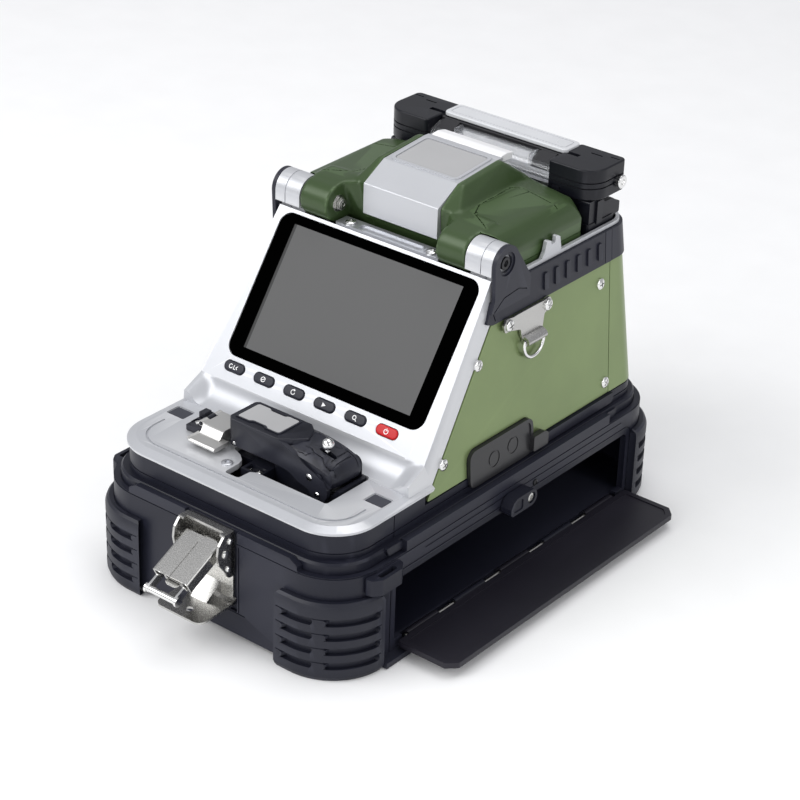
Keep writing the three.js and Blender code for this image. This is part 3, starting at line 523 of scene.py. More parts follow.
# ------------------------------------------------------------------ base case
def base_case():
    body = prism(rounded(-CASE_X, CASE_X, -CASE_Y, CASE_Y, CASE_R), "z", CASE_BOTTOM, CASE_TOP)
    inset = CASE_WALL
    body = cut(body, prism(
        rounded(-CASE_X + inset, CASE_X - inset, -CASE_Y + inset, CASE_Y - inset, CASE_R - inset),
        "z", CASE_BOTTOM + inset, 90))
    corner = prism(corner_cut([(NOTCH_X, NOTCH_Z), (140, NOTCH_Z), (140, 90), (NOTCH_X - 6, 90),
                               (NOTCH_X - 6, 61.5), (NOTCH_X, 58)], 1.2), "y", NOTCH_Y, 200)
    notches = [corner, mirrored(corner)]
    for notch in list(notches):
        twin = copied(notch)
        twin.data.transform(Matrix.Scale(-1, 4, (0, 1, 0)))
        twin.data.flip_normals()
        notches.append(twin)
    doorway = prism(rounded(OPEN_Y0, OPEN_Y1, OPEN_Z0 - 8, OPEN_Z1, 3), "x", CASE_X - inset - 1, 100)
    floor = box(60, 100, OPEN_Y0 - 1, OPEN_Y1 + 1, -10, OPEN_Z0)
    doorway = cut(doorway, floor)
    recess = box(-17, 17, -CASE_Y - 1, -CASE_Y + 2, 15.6, 90)
    body = cut(body, *notches, doorway, recess)
    return body


def case_lines(body):
    """Shallow grooves: under the top edge, beside the latch and along the compartment."""
    depth = 0.45
    ring = cut(prism(rounded(-100, 100, -150, 150, 30), "z", 54.4, 55.0),
               prism(rounded(-CASE_X + depth, CASE_X - depth, -CASE_Y + depth, CASE_Y - depth,
                             CASE_R - depth), "z", 50, 60))
    frame_line = cut(
        prism(rounded(OPEN_Y0 - 4, OPEN_Y1 + 4, -5, OPEN_Z1 + 4.2, 6), "x", CASE_X - depth, 100),
        prism(rounded(OPEN_Y0 - 3.4, OPEN_Y1 + 3.4, -6, OPEN_Z1 + 3.6, 5.5), "x", 60, 120))
    side = box(CASE_X - depth, 100, -70, 96, 50.6, 51.2)
    ledge = box(-16.6, 22, -CASE_Y - 1, -CASE_Y + depth, 15.0, 15.6)
    edge = box(17.8, 18.6, -CASE_Y - 1, -CASE_Y + depth, 15.6, 53)
    return cut(body, ring, frame_line, side, ledge, edge)


def base_trim(body):
    ear = prism(corner_cut([(CASE_X - 1, -115), (CASE_X + 3.2, -114), (88.4, -109.5), (88.4, -95.5),
                            (CASE_X + 3.2, -91), (CASE_X - 1, -90)], 2.4), "z", 45, 53.5)
    ear = cut(ear, prism(rounded(CASE_X + 1.4, 86.4, -108.6, -96.4, 1.2), "z", 0, 90))
    return join(body, *both(ear))


def hinge_line(body):
    body = cut(body, box(CASE_X - CASE_WALL - 0.3, 100, -86, 96, 0, OPEN_Z0 + 0.1))
    body = join(body, box(70, 88, -104.5, 104.5, 0.4, 3.3))
    for y in (-32.5, 42.5):
        body = join(body, rod("y", 81.5, y, 6, 2.4, 24), box(77.5, 81.5, y - 12, y + 12, 3, 6))
    return cut(body, rod("y", 81.5, 5, 6, 1.4, 180))


piece("case_shell", hinge_line(base_trim(case_lines(base_case()))), CASE, bevel=0.7, steps=3,
      replaces=["base_case"])


def collar():
    band = loft([(rounded(-78.2, 78.2, -129.2, 129.2, 24.2), 53),
                 (rounded(-78.2, 78.2, -129.2, 129.2, 24.2), 59.4),
                 (rounded(-77.2, 77.2, -128.2, 128.2, 23.2), 60.6)])
    tub = prism(rounded(-75, 75, -125.7, 122, 23.5, 16), "z", 59.6, 68)
    front = common(prism(rounded(-75, 75, -125.7, 122, 23.5, 16), "z", 59.6, 73.8),
                   box(-200, 200, -200, -62.5, 0, 200))
    hollow = prism(rounded(-72, 72, -122.7, 119, 20.5, 13), "z", 56, 200)
    # shallow steps round the tub, a seam near the front and the raised strip behind the port
    step = cut(prism(rounded(-90, 90, -150, 150, 30), "z", 63.4, 64.1),
               prism(rounded(-74.5, 74.5, -125.2, 121.5, 23, 15.5), "z", 60, 70))
    seam = box(70, 90, -86.3, -85.7, 60.7, 90)
    body = cut(join(band, tub, front), hollow, step, *both(seam))
    strip = prism(corner_cut([(37, 62.2), (93, 62.2), (95, 64.2), (95, 67.9), (37, 67.9)], 0.8), "x", 74, 76.4)
    low_strip = prism(corner_cut([(70, 55), (92, 55), (94, 57), (94, 60), (72, 60)], 0.8), "x", 77, 79.4)
    clip = prism(corner_cut([(-97, 60.7), (-85, 60.7), (-85, 56.2), (-95, 56.2)], 1.0), "x", 77, 79.6)
    return join(body, *both(strip), *both(low_strip), *both(clip))


piece("collar_ring", collar(), CASE, bevel=0.45, steps=2, replaces=["base_collar"])


# ------------------------------------------------------------------ corner bumpers
BUMP_R = CASE_R + BUMPER_OUT
BUMP_CENTRE = (CASE_X - CASE_R, -CASE_Y + CASE_R)
STRAIGHT = BUMP_CENTRE[0] - BUMPER_X
BUMP_LENGTH = STRAIGHT + math.pi / 2 * BUMP_R


def along_bumper(distance, out):
    """A point on the front right bumper, a distance round it from its front end."""
    if distance < STRAIGHT:
        return (BUMPER_X + distance, BUMP_CENTRE[1] - BUMP_R - out)
    angle = (distance - STRAIGHT) / BUMP_R - math.pi / 2
    return (BUMP_CENTRE[0] + (BUMP_R + out) * math.cos(angle),
            BUMP_CENTRE[1] + (BUMP_R + out) * math.sin(angle))


def bumper_band(start, end, inner, outer):
    count = max(4, round((end - start) / 2))
    stops = [start + (end - start) * i / count for i in range(count + 1)]
    return [along_bumper(s, outer) for s in stops] + [along_bumper(s, inner) for s in reversed(stops)]


def bumper():
    thick = BUMPER_OUT - GAP
    shape = [
        (bumper_band(1.2, BUMP_LENGTH - 1.2, -thick, -1.4), 0),
        (bumper_band(0.4, BUMP_LENGTH - 0.4, -thick, -0.7), 1.2),
        (bumper_band(0, BUMP_LENGTH, -thick, 0), 3.2),
        (bumper_band(0, BUMP_LENGTH, -thick, 0), BUMPER_TOP - 3.4),
        (bumper_band(0.6, BUMP_LENGTH - 0.6, -thick, -0.8), BUMPER_TOP - 1.2),
        (bumper_band(1.8, BUMP_LENGTH - 1.8, -thick, -2.0), BUMPER_TOP)]
    body = loft(shape)
    slots = []
    for row in range(4):
        middle = 33.2 - 8.1 * row
        for start, end in ((3, 22.4), (26.6, BUMP_LENGTH - 3.4)):
            slot = loft([(bumper_band(start + 1.1, end - 1.1, -2.3, 3), middle - 1.9),
                         (bumper_band(start, end, -2.3, 3), middle - 0.8),
                         (bumper_band(start, end, -2.3, 3), middle + 0.8),
                         (bumper_band(start + 1.1, end - 1.1, -2.3, 3), middle + 1.9)])
            slots.append(slot)
    # the ribs between the slots are slightly hollowed below their upper edge
    for row in range(5):
        middle = 37.2 - 8.1 * row
        slots.append(prism(bumper_band(1.4, BUMP_LENGTH - 2.6, -0.35, 3), "z", middle - 2.5, middle - 1.9))
    return cut(body, *slots)


def all_bumpers():
    first = bumper()
    for name, sx, sy in (("front_right", 1, 1), ("front_left", -1, 1), ("rear_right", 1, -1),
                         ("rear_left", -1, -1)):
        twin = copied(first)
        twin.data.transform(Matrix.Diagonal((sx, sy, 1, 1)))
        if sx * sy < 0:
            twin.data.flip_normals()
        piece(f"bumper_{name}", twin, RUBBER, bevel=0.5, steps=3, limit=24,
              replaces=[f"corner_bumper_{name}"])
    discard(first)


all_bumpers()


# ------------------------------------------------------------------ side compartment
def flap_door():
    x0, x1 = 84.1, 117.8
    outline = corner_cut([(x0, -91.6), (x1 - 5, -91.6), (x1, -86.6), (x1, 96.6), (x1 - 5, 101.6),
                          (x0, 101.6)], 1.5)
    door = prism(outline, "z", 5.5, 8.5)
    # a raised rim and a shallow field on the inner face, which lies uppermost
    field = prism(corner_cut([(x0 + 3, -88.6), (x1 - 6.5, -88.6), (x1 - 3, -85), (x1 - 3, 95),
                              (x1 - 6.5, 98.6), (x0 + 3, 98.6)], 1.5), "z", 8.0, 10)
    door = cut(door, field)
    for y in (-70, 5, 80):
        door = join(door, rod("y", 81.5, y, 6, 2.4, 24), box(81.5, x0 + 1, y - 12, y + 12, 5.5, 8))
    return cut(door, rod("y", 81.5, 0, 6, 1.4, 400))


piece("door_panel", flap_door(), DOOR, "side_flap", bevel=0.4, replaces=["side_flap"])
piece("door_pin", rod("y", 81.5, 5, 6, 1.1, 176, 24), BRASS, bevel=0.25, replaces=["flap_hinge_pin"])


def door_knob():
    shape = (arc(6.6, 47.5, 4.6, -90, 90, 10) + [(-5.5, 52.1), (-8.4, 50.6), (-10.4, 47.2),
             (-10.4, 44.4), (-8.9, 42.9)])
    knob = prism(shape, "x", 82.6, 89.4)
    knob = cut(knob, rod("x", 89.4, 6.6, 47.5, 3.0, 2.4))
    waist = prism(corner_cut([(-8.6, 44.4), (-0.6, 44.4), (-0.6, 50.4), (-6, 50.4)], 1.5), "x", 88.8, 92)
    return cut(knob, waist)


piece("door_catch", door_knob(), CASE, "flap_knob", bevel=0.9, steps=3, replaces=["flap_knob"])
pan_screw("catch_screw", (88.3, 6.6, 47.5), (1, 0, 0), 2.6, STEEL, "flap_knob", flat=True)
pan_screw("catch_stop", (82.1, 19.2, 48.2), (1, 0, 0), 1.7, DARK_STEEL)
piece("cell_pack", carried("battery_pack"), SLEEVE, bevel=2.5, steps=4, replaces=["battery_pack"])


# ------------------------------------------------------------------ draw latch
PIVOT = (0, -138.6, 50.5)
TILT = 27


def drawn_level(obj):
    return turned(obj, "x", TILT, PIVOT)


def latch():
    back = -CASE_Y + 1.7
    plate = prism(rounded(-14, 14, 19, 60, 1.5), "y", back - 1.2, back)
    flange = prism([(back, 19), (back, 22.5), (back - 3, 20.6), (-157.2, 19.7), (-157.2, 18.6),
                    (back - 3, 19.2)], "x", -15.2, 15.2)
    shape = prism(rounded(-15.2, 15.2, -157.2, back + 4, 4.5, 0.5), "z", 0, 60)
    flange = cut(common(flange, shape), rod("z", 2, -150.5, 19, 2.0, 12))
    ramp = hull([(-6, back - 1, 19), (6, back - 1, 19), (-6, back - 1, 29), (6, back - 1, 29),
                 (-5, -143, 19.4), (5, -143, 19.4)])
    piece("latch_plate", join(plate, flange, ramp), STEEL, bevel=0.3, replaces=["latch_base_plate"])

    back -= 1.7
    side = corner_cut([(back, 61), (back, 36), (back - 4, 36.5), (back - 5.5, 40), (-143.2, 46),
                       (-144.2, 51), (-143.4, 56.4), (-139.6, 60.6)], 2.2)
    cheek = prism(side, "x", 13.7, 15.0)
    web = prism(rounded(-15, 15, 36, 61, 2), "y", back - 1.3, back)
    web = cut(web, prism(rounded(-5.6, 5.6, 46, 52.6, 2), "y", -150, -120))
    top = box(-15, 15, -139.4, back, 59.7, 61.0)
    cheeks = cut(join(cheek, mirrored(cheek)), rod("x", 0, PIVOT[1], PIVOT[2], 1.7, 60))
    piece("latch_bracket_plate", cut(join(web, cheeks, top), box(-11.8, 11.8, -160, -136.6, 58, 63)),
          STEEL, bevel=0.3, replaces=["latch_bracket"])
    for number, (y, z) in enumerate(((-138.6, 50.5), (-137.0, 41.8), (-135.6, 56.6))):
        for side_name, side_x in (("left", -1), ("right", 1)):
            radius = 2.3 if number == 0 else 1.7
            rivet = turned_profile([(0, 0), (radius, 0), (radius * 0.96, 0.5), (radius * 0.6, 0.95), (0, 1.1)], 24)
            piece(f"latch_rivet_{side_name}_{number + 1}",
                  facing(rivet, (side_x * 15.0, y, z), (side_x, 0, 0)), BRIGHT, bevel=0)


def latch_lever():
    y, z = PIVOT[1], PIVOT[2]
    profile = corner_cut([(-11.4, z - 3.6), (11.4, z - 3.6), (11.4, z + 3.8), (-11.4, z + 3.8)], 1.6)
    inner = corner_cut([(-10.2, z - 6), (10.2, z - 6), (10.2, z + 2.7), (-10.2, z + 2.7)], 1.0)
    tube = prism(profile, "y", y - 24, y + 2.2)
    tube = cut(tube, prism(inner, "y", y - 40, y + 0.9), box(-0.2, 0.2, y - 30, y - 1.5, z + 3.2, z + 9))
    front = join(prism(rounded(-4.2, 4.2, y - 26.2, y - 22, 2.4, 0.3), "z", z - 1.6, z - 0.8),
                 box(-6, 6, y - 23.2, y - 20, z - 3.4, z + 2.8))
    front = cut(front, box(-4.4, 4.4, y - 30, y - 24.4, z - 0.8, z + 10),
                box(-4.6, 4.6, y - 30, y - 19, z - 0.6, z + 1.6))
    pin = rod("x", 0, y, z, 1.4, 29.4, 24)
    piece("lever_box", drawn_level(join(tube, pin, front)), STEEL, "latch_lever", bevel=0.25,
          replaces=["latch_lever"])


def latch_bail():
    y, z = PIVOT[1], PIVOT[2]
    side = corner_cut([(y - 10, z - 3.2), (y - 10, z + 0.8), (y - 30, z + 1), (y - 33.6, z + 0.8),
                       (y - 34, z - 2.6), (y - 30, z - 3.4)], 1.4)
    arm = prism(side, "x", 8.1, 9.3)
    bar = rod("x", 0, y - 32, z - 1.2, 1.7, 21, 32)
    collars = rod("x", 9.9, y - 32, z - 1.2, 2.5, 1.2, 32)
    pin = rod("x", 0, y - 13, z - 1.2, 1, 18.6, 20)
    piece("bail_wire", drawn_level(join(arm, mirrored(arm), bar, pin, *both(collars))), BRIGHT,
          "latch_bail", bevel=0.2, replaces=["latch_bail"])


latch()
latch_lever()
latch_bail()


# ------------------------------------------------------------------ front frame
def cove_curve(steps=16):
    lip_y, lip_z = slope_point(LIP)
    rise, run = lip_z - DECK_TOP, lip_y - COVE_Y
    radius = (run * run + rise * rise) / (2 * rise)
    sweep = math.asin(run / radius)
    return [(COVE_Y + radius * math.sin(sweep * i / steps),
             DECK_TOP + radius * (1 - math.cos(sweep * i / steps))) for i in range(steps + 1)]


def upper_body(grow=0.0, top=170.0):
    """The tapering outside of the upper body, grown outwards."""
    def level(z):
        share = (z - 60) / 110
        half = 75.34 - 7.64 * share + grow
        rear = 122 - 12.2 * share + grow
        return rounded(-half, half, -400, rear, 1, 14 + grow), z
    return loft([level(60), level(top)])


def half_width(z):
    return 75.34 - 7.64 * (z - 60) / 110


def cleaver_pocket():
    shape = corner_cut([(-7.8, -114.8), (1.0, -114.6), (1.4, -106.6), (4.4, -104.9), (48.6, -104.9),
                        (48.6, -72.4), (-20, -72.4), (-20, -94.6), (-13.6, -97), (-9.4, -100.4),
                        (-8.2, -104)], 1.8)
    return prism(shape, "z", 60, DECK_TOP + 3)


def key_outline(i, grow=0.0):
    x = KEY_CENTRE + (i - (KEYS - 1) / 2) * KEY_PITCH
    w, h = KEY_W + grow, KEY_H + grow
    return rounded(x - w, x + w, KEY_V - h, KEY_V + h, h - 0.01)


def trim_outline(grow=0.0):
    radius = HINGE_R + grow
    return (arc(HINGE_Y, HINGE_Z, radius, 33, 180) + [(-9 - grow, 156.6), (-13.2 - grow, 145),
            (-8.6, TRIM_Z0 - grow), (SEAM_Y, TRIM_Z0 - grow), (SEAM_Y, TRIM_Z1 + grow),
            (19.8, TRIM_Z1 + grow)])


def cove_line(share):
    """The cove in side view: share 0 is its deep middle, share 1 the cheek at either end."""
    curve = cove_curve()
    steps = len(curve) - 1
    return [(y - 8 * share * (1 - i / steps), z + 3.4 * share * math.sin(math.pi * i / steps))
            for i, (y, z) in enumerate(curve)]


def front_frame():
    lip_y, lip_z = slope_point(LIP)
    plate = 3
    behind = [slope_point(SLOPE_TOP), slope_point(SLOPE_TOP, -plate), slope_point(LIP + 1, -plate),
              (lip_y + 4, DECK_TOP), (COVE_Y + 8, DECK_UNDER)]
    stations = [(61, 0), (63, 0.05), (65, 0.2), (67, 0.47), (69, 0.77), (70.6, 0.95), (71.8, 1), (80, 1)]
    stations = [(-x, share) for x, share in reversed(stations)] + stations
    face = rings_solid([[(x, y, z) for y, z in [(DECK_FRONT - 1, DECK_UNDER), (DECK_FRONT - 1, DECK_TOP),
                                                *cove_line(share), *behind]] for x, share in stations])
    cheek = prism([(COVE_Y - 8, DECK_UNDER), *cove_line(1), slope_point(SLOPE_TOP),
                   slope_point(SLOPE_TOP, -CHEEK), slope_at(DECK_UNDER, -CHEEK)], "x", 71.8, 80)
    inner_cheek = prism([slope_point(LIP, -plate + 0.5), slope_point(SLOPE_TOP, -plate + 0.5),
                         slope_point(SLOPE_TOP, -CHEEK), slope_point(LIP, -CHEEK)], "x", 65.2, 80)
    edge = 4.6
    rim = loft([(rounded(-DECK_X, DECK_X, DECK_FRONT, 0, DECK_R, 1), DECK_UNDER),
                (rounded(-DECK_X, DECK_X, DECK_FRONT, 0, DECK_R, 1), DECK_TOP - 1.7),
                (rounded(-DECK_X + edge, DECK_X - edge, DECK_FRONT + edge, 8, DECK_R - edge, 1), DECK_TOP)])
    above = common(upper_body(-0.5), box(-200, 200, -74, 60, DECK_TOP - 2.4, 400))
    frame_body = common(join(face, *both(cheek), *both(inner_cheek)), join(rim, above))
    window = rounded(-BEZEL_X - GAP, BEZEL_X + GAP, BEZEL_V0 - GAP, BEZEL_V1 + GAP, BEZEL_R)
    trims = prism(trim_outline(0.4), "x", 68.8, 80)
    holes = [on_slope(prism(window, "z", -6, 4)), cleaver_pocket(), *both(trims)]
    holes += [on_slope(prism(key_outline(i, GAP), "z", -6, 4)) for i in range(KEYS)]
    frame_body = cut(frame_body, *holes)
    # sunk line inside the rim, wells for the two pads
    ring = cut(prism(rounded(-66.3, 66.3, -118.6, 10, 16), "z", DECK_TOP - 0.7, 90),
               prism(rounded(-65.1, 65.1, -117.4, 9, 15), "z", 70, 95),
               box(-100, 100, -96, 20, 60, 99))
    well = prism(rounded(58.8, 70.4, -90.2, -81, 0.8), "z", DECK_TOP - 0.8, 90)
    return cut(frame_body, ring, *both(well))


piece("front_shell", front_frame(), SILVER, bevel=0.55, steps=3, limit=17, replaces=["front_frame"])
for side_name, side in (("left", -1), ("right", 1)):
    pad = prism(rounded(59.4, 69.8, -89.6, -81.6, 0.6), "z", DECK_TOP - 0.8, DECK_TOP - 0.35)
    piece(f"deck_pad_{side_name}", on_side(pad, side), PAD, bevel=0.15)
pan_screw("tongue_screw", (-12.6, -107.6, DECK_TOP + 0.1), (0, 0, 1), 3.0, BAR, spin=25, flat=True)


# ------------------------------------------------------------------ screen and keys
def screen():
    border = prism(rounded(-BEZEL_X, BEZEL_X, BEZEL_V0, BEZEL_V1, BEZEL_R - 0.3), "z", -2.4, -0.25)
    piece("screen_bezel", on_slope(border), BLACK, bevel=0.25, replaces=["display_bezel"])
    shown = prism(rounded(-SCREEN_X + 1.6, SCREEN_X, 0, SCREEN_V, 0.2), "z", -0.3, -0.2)
    piece("screen_active", on_slope(shown), GLASS, bevel=0)
    # a darker strip along the left edge of the screen: painted shadow line of the bezel on the recessed active area
    shade = prism(rounded(-SCREEN_X, -SCREEN_X + 1.6, 0, SCREEN_V, 0.1), "z", -0.3, -0.21)
    piece("screen_edge_painted_shadow", on_slope(shade), PAINTED_SHADOW_SCREEN_EDGE, bevel=0)
    piece("screen_module", carried("lcd_module"), INNER, bevel=0.4, replaces=["lcd_module"])


def icon(i):
    """A generic mark for each key, drawn about the key's middle in millimetres."""
    thick = 0.42

    def bow(x, y, r, a0, a1):
        return line_band(arc(x, y, r, a0, a1, 15), thick)

    if i == 0:
        return [bow(-1.9, 0, 1.1, 50, 350), line_band([(0.2, 1.1), (0.2, -1.1), (1.5, -1.1)], thick),
                line_band([(2.6, 0.9), (1.6, 0), (2.6, -0.9)], thick)]
    if i == 1:
        return [bow(0, 0, 1.3, 0, 350), line_band([(-0.8, -0.5), (0.8, 0.5)], thick)]
    if i == 2:
        return [bow(0, 0, 1.25, 60, 360), [(0.3, 1.9), (1.3, 1.1), (0.2, 0.5)]]
    if i == 3:
        return [[(-0.9, -1.2), (1.5, 0.0), (-0.9, 1.2)]]
    if i == 4:
        return [bow(-0.2, 0.25, 1.05, 0, 350), line_band([(0.5, -0.5), (1.5, -1.4)], thick)]
    return [bow(0, -0.1, 1.25, 115, 425), line_band([(0, 0.1), (0, 1.6)], thick)]


def keys():
    for i in range(KEYS):
        last = i == KEYS - 1
        cap = loft([(key_outline(i), -3), (key_outline(i), 0.35), (key_outline(i, -0.35), 0.8),
                    (key_outline(i, -1.1), 1.0)])
        piece(f"key_cap_{i + 1}", on_slope(cap), RED if last else KEY, f"key_{i + 1}", bevel=0.15,
              limit=15, replaces=[f"key_{i + 1}"])
        x = KEY_CENTRE + (i - (KEYS - 1) / 2) * KEY_PITCH
        marks = [prism([(x + a * 0.95, KEY_V + b * 0.95) for a, b in shape], "z", 0.9, 1.06)
                 for shape in icon(i)]
        mark = join(*marks) if len(marks) > 1 else marks[0]
        piece(f"key_mark_{i + 1}", on_slope(mark), WHITE, f"key_{i + 1}", bevel=0)


screen()
keys()


# ------------------------------------------------------------------ bar over the screen
def crossbar():
    bar = prism(rounded(-33, 33, -5, 4, 0.6), "z", 161.5, 165.6)
    bar = cut(bar, prism(rounded(-19.5, 19.5, -3.6, 1.4, 1.2), "z", 164.7, 170))
    wells = [rod("z", x, -1.2, 166, 3.9, 1.4) for x in (-26, 26)]
    piece("cross_bar", cut(bar, *wells), BAR, bevel=0.3, replaces=["crossbar"])
    for name, x in (("left", -26), ("right", 26)):
        pan_screw(f"bar_screw_{name}", (x, -1.2, 165.5), (0, 0, 1), 3.0, spin=20)


crossbar()


# ------------------------------------------------------------------ green side and rear panels
def skin(outer, inner):
    return cut(upper_body(outer), upper_body(inner))


def side_panel(side):
    name = "right" if side > 0 else "left"
    shape = corner_cut([slope_at(PANEL_Z0, -CHEEK - 0.6), (SEAM_Y, PANEL_Z0), (SEAM_Y, PANEL_Z1),
                        slope_at(PANEL_Z1, -CHEEK - 0.6)], 0.8)
    panel = common(skin(0, -1.6), prism(shape, "x", 50, 90))
    if side > 0:
        panel = cut(panel, prism(rounded(-29.3, 23.3, 40, 82.8, 1, 6), "x", 50, 90))
    piece(f"panel_{name}", on_side(panel, side), GREEN, bevel=0.25, replaces=[f"side_panel_{name}"])
    for number, (y, z) in enumerate(((-48.1, 83.9), (-19.8, 125.9), (83.1, 133.2), (89.7 - 1.5, 75.7))):
        centre = (side * (half_width(z) + 0.1), y, z)
        pan_screw(f"panel_screw_{name}_{number + 1}", centre, (side, 0, 0.0694), 3.1,
                  spin=20 + 40 * number)


def rear_panel():
    panel = common(skin(0, -1.6), box(-200, 200, SEAM_Y + GAP, 200, PANEL_Z0, PANEL_Z1))
    # cooling slots in the rear
    slots = [prism(rounded(x - 1.2, x + 1.2, 112, 130, 1.15), "y", 105, 140) for x in range(-50, -22, 6)]
    return cut(panel, *slots)


side_panel(1)
side_panel(-1)
piece("panel_rear", rear_panel(), GREEN, bevel=0.25, replaces=["rear_panel"])
for number, (x, z) in enumerate(((-52, 78), (52, 78), (-50, 134), (50, 134))):
    rear_y = 122 - 12.2 * (z - 60) / 110
    pan_screw(f"rear_screw_{number + 1}", (x, rear_y + 0.1, z), (0, 1, 0.111), 3.1, spin=35 * number)
plate_y = 122 - 12.2 * (104 - 60) / 110
rear_label = prism(rounded(-24, 24, 92, 116, 2.5), "y", -0.5, 0.9)
rear_label.data.transform(Matrix.Translation((0, plate_y, 104)) @ Matrix.Rotation(math.radians(6.33), 4, "X")
                          @ Matrix.Translation((0, 0, -104)))
piece("rear_label", rear_label, LABEL, bevel=0.2)


# ------------------------------------------------------------------ dark trim with the hinge arms
def side_trim(side):
    name = "right" if side > 0 else "left"
    band = common(skin(1, -1.6), prism(trim_outline(), "x", 50, 90))
    arm = common(prism(trim_outline(), "x", BLOCK_X1 + GAP, 71.4), box(-200, 200, -200, 19.8, 150, 200))
    body = cut(join(band, arm), box(0, BLOCK_X1 + GAP, -200, 19.8, 155, 400))
    # recessed boss with a round socket
    body = cut(body, rod("x", 71.4, HINGE_Y, HINGE_Z, 6.2, 1.6), rod("x", 70, HINGE_Y, HINGE_Z, 4.6, 20))
    shell = cut(copied(body), moved(copied(body), x=-0.5))
    line = prism(line_band([(-6.5, 144.8), (-8.8, 150.5), (-1.5, 155.8), (10.5, 157.0), (17, 154.6)], 0.6),
                 "x", 60, 80)
    seam = prism(line_band([(86.5, 140), (86.5, 165)], 0.5), "x", 60, 80)
    body = cut(body, common(join(line, seam), shell))
    ribs = []
    for k in range(6):
        y = 34.5 + 9.3 * k
        x = half_width(151) + 0.4
        rib = prism(corner_cut([(y - 1.7, 147.2), (y + 1.9, 147.2), (y + 1.9, 156.4), (y - 1.7, 156.4)], 1.2),
                    "x", x - 1, x + 1.5)
        rib.data.transform(Matrix.Translation((x, 0, 151.5)) @ Matrix.Rotation(math.radians(-3.97), 4, "Y")
                           @ Matrix.Translation((-x, 0, -151.5)))
        ribs.append(rib)
    body = join(body, *ribs)
    piece(f"trim_{name}", on_side(body, side), TRIM, bevel=0.4, replaces=[f"side_trim_{name}"])
    socket = cut(rod("x", 69.9, HINGE_Y, HINGE_Z, 3.4, 1.4), prism(circle(HINGE_Y, HINGE_Z, 1.8, 6), "x", 69.6, 80))
    piece(f"trim_bolt_{name}", on_side(socket, side), DARK_STEEL, bevel=0.3)


def rear_trim():
    band = common(skin(1, -1.6), box(-200, 200, SEAM_Y + GAP, 200, TRIM_Z0, TRIM_Z1))
    return cut(band, common(skin(1.5, 0.6), box(-62, 62, 100, 200, 150.6, 151.2)))


def top_rail():
    rail = common(skin(-0.6, -2.4), box(-200, 200, 19.8, 200, 161.1, 163))
    tooth = corner_cut([(32.5, 161.5), (50.5, 161.5), (48.4, 170.6), (46.2, 172.0), (44.6, 172.0),
                        (44.4, 168.6), (41.2, 168.6), (41.0, 170.6), (38.4, 171.6), (37.2, 171.4),
                        (35.8, 166)], 0.5)
    plate = prism(tooth, "x", 65.6, 67.6)
    return join(rail, *both(plate))


def hinge_block(side):
    name = "right" if side > 0 else "left"
    shape = arc(HINGE_Y, HINGE_Z, HINGE_R, 0, 180) + [(-9.9, 168.5), (-5, 166.2), (-5, 160.5), (8.9, 160.5)]
    block = prism(shape, "x", BLOCK_X0, BLOCK_X1)
    block = cut(block, rod("x", 60, HINGE_Y, HINGE_Z, 3.3, 40),
                cut(rod("x", 62.4, HINGE_Y, HINGE_Z, HINGE_R + 2, 0.5),
                    rod("x", 62.4, HINGE_Y, HINGE_Z, HINGE_R - 0.35, 2)))
    piece(f"block_{name}", on_side(block, side), SILVER, bevel=0.5, replaces=[f"hinge_block_{name}"])
    piece(f"pin_{name}", on_side(rod("x", 50, HINGE_Y, HINGE_Z, 3, 36.4, 40), side), BRASS, bevel=0.3,
          replaces=[f"hinge_pin_{name}"])


for side in (-1, 1):
    side_trim(side)
    hinge_block(side)
piece("trim_rear", rear_trim(), TRIM, bevel=0.4, replaces=["rear_trim"])
piece("rail", top_rail(), SILVER, bevel=0.35, replaces=["top_rail"])


# ------------------------------------------------------------------ strap lugs, rings, port cover
def strap_lug(side):
    name = "right" if side > 0 else "left"
    x = half_width(125) - 0.6
    outline = corner_cut([(-2, 140.4), (0.5, 143.8), (6, 143.0), (10, 143.2), (27, 143.2), (31, 143.0),
                          (36, 143.8), (38.4, 140.2), (36.8, 136.6), (32.2, 136.2), (31, 128), (14, 128),
                          (12.4, 134), (4, 136.2), (-0.4, 136.4)], 1.6)
    plate = prism(outline, "x", x + 0.9, x + 2.1)
    hook = corner_cut([(x + 0.9, 128.5), (x + 0.9, 124.6), (x + 5.4, 124.4), (x + 6.2, 126.4),
                       (x + 5.2, 128.2), (x + 2.2, 129.6)], 1.3)
    hook = prism(hook, "y", 15, 30.4)
    body = cut(join(plate, hook), rod("y", x + 3.2, 20, 126.3, 1.2, 60))
    piece(f"lug_{name}", on_side(body, side), STEEL, bevel=0.3, replaces=[f"strap_lug_{name}"])
    for number, y in enumerate((2.4, 34.2)):
        pan_screw(f"lug_screw_{name}_{number + 1}", (side * (x + 2.3), y, 139.9), (side, 0, 0), 3.1,
                  spin=15 + 50 * number)
    middle = x + 3.2
    top = [(middle, y, 126.3) for y in (16, 20, 25, 29)]
    bow = [(middle, y, z) for y, z in arc(22.7, 124.0, 8.1, 18, -198, 12)]
    ring = wire(top + bow, 1.0, closed=True)
    piece(f"ring_{name}", on_side(ring, side), BRIGHT, f"d_ring_{name}", bevel=0,
          replaces=[f"d_ring_{name}"])


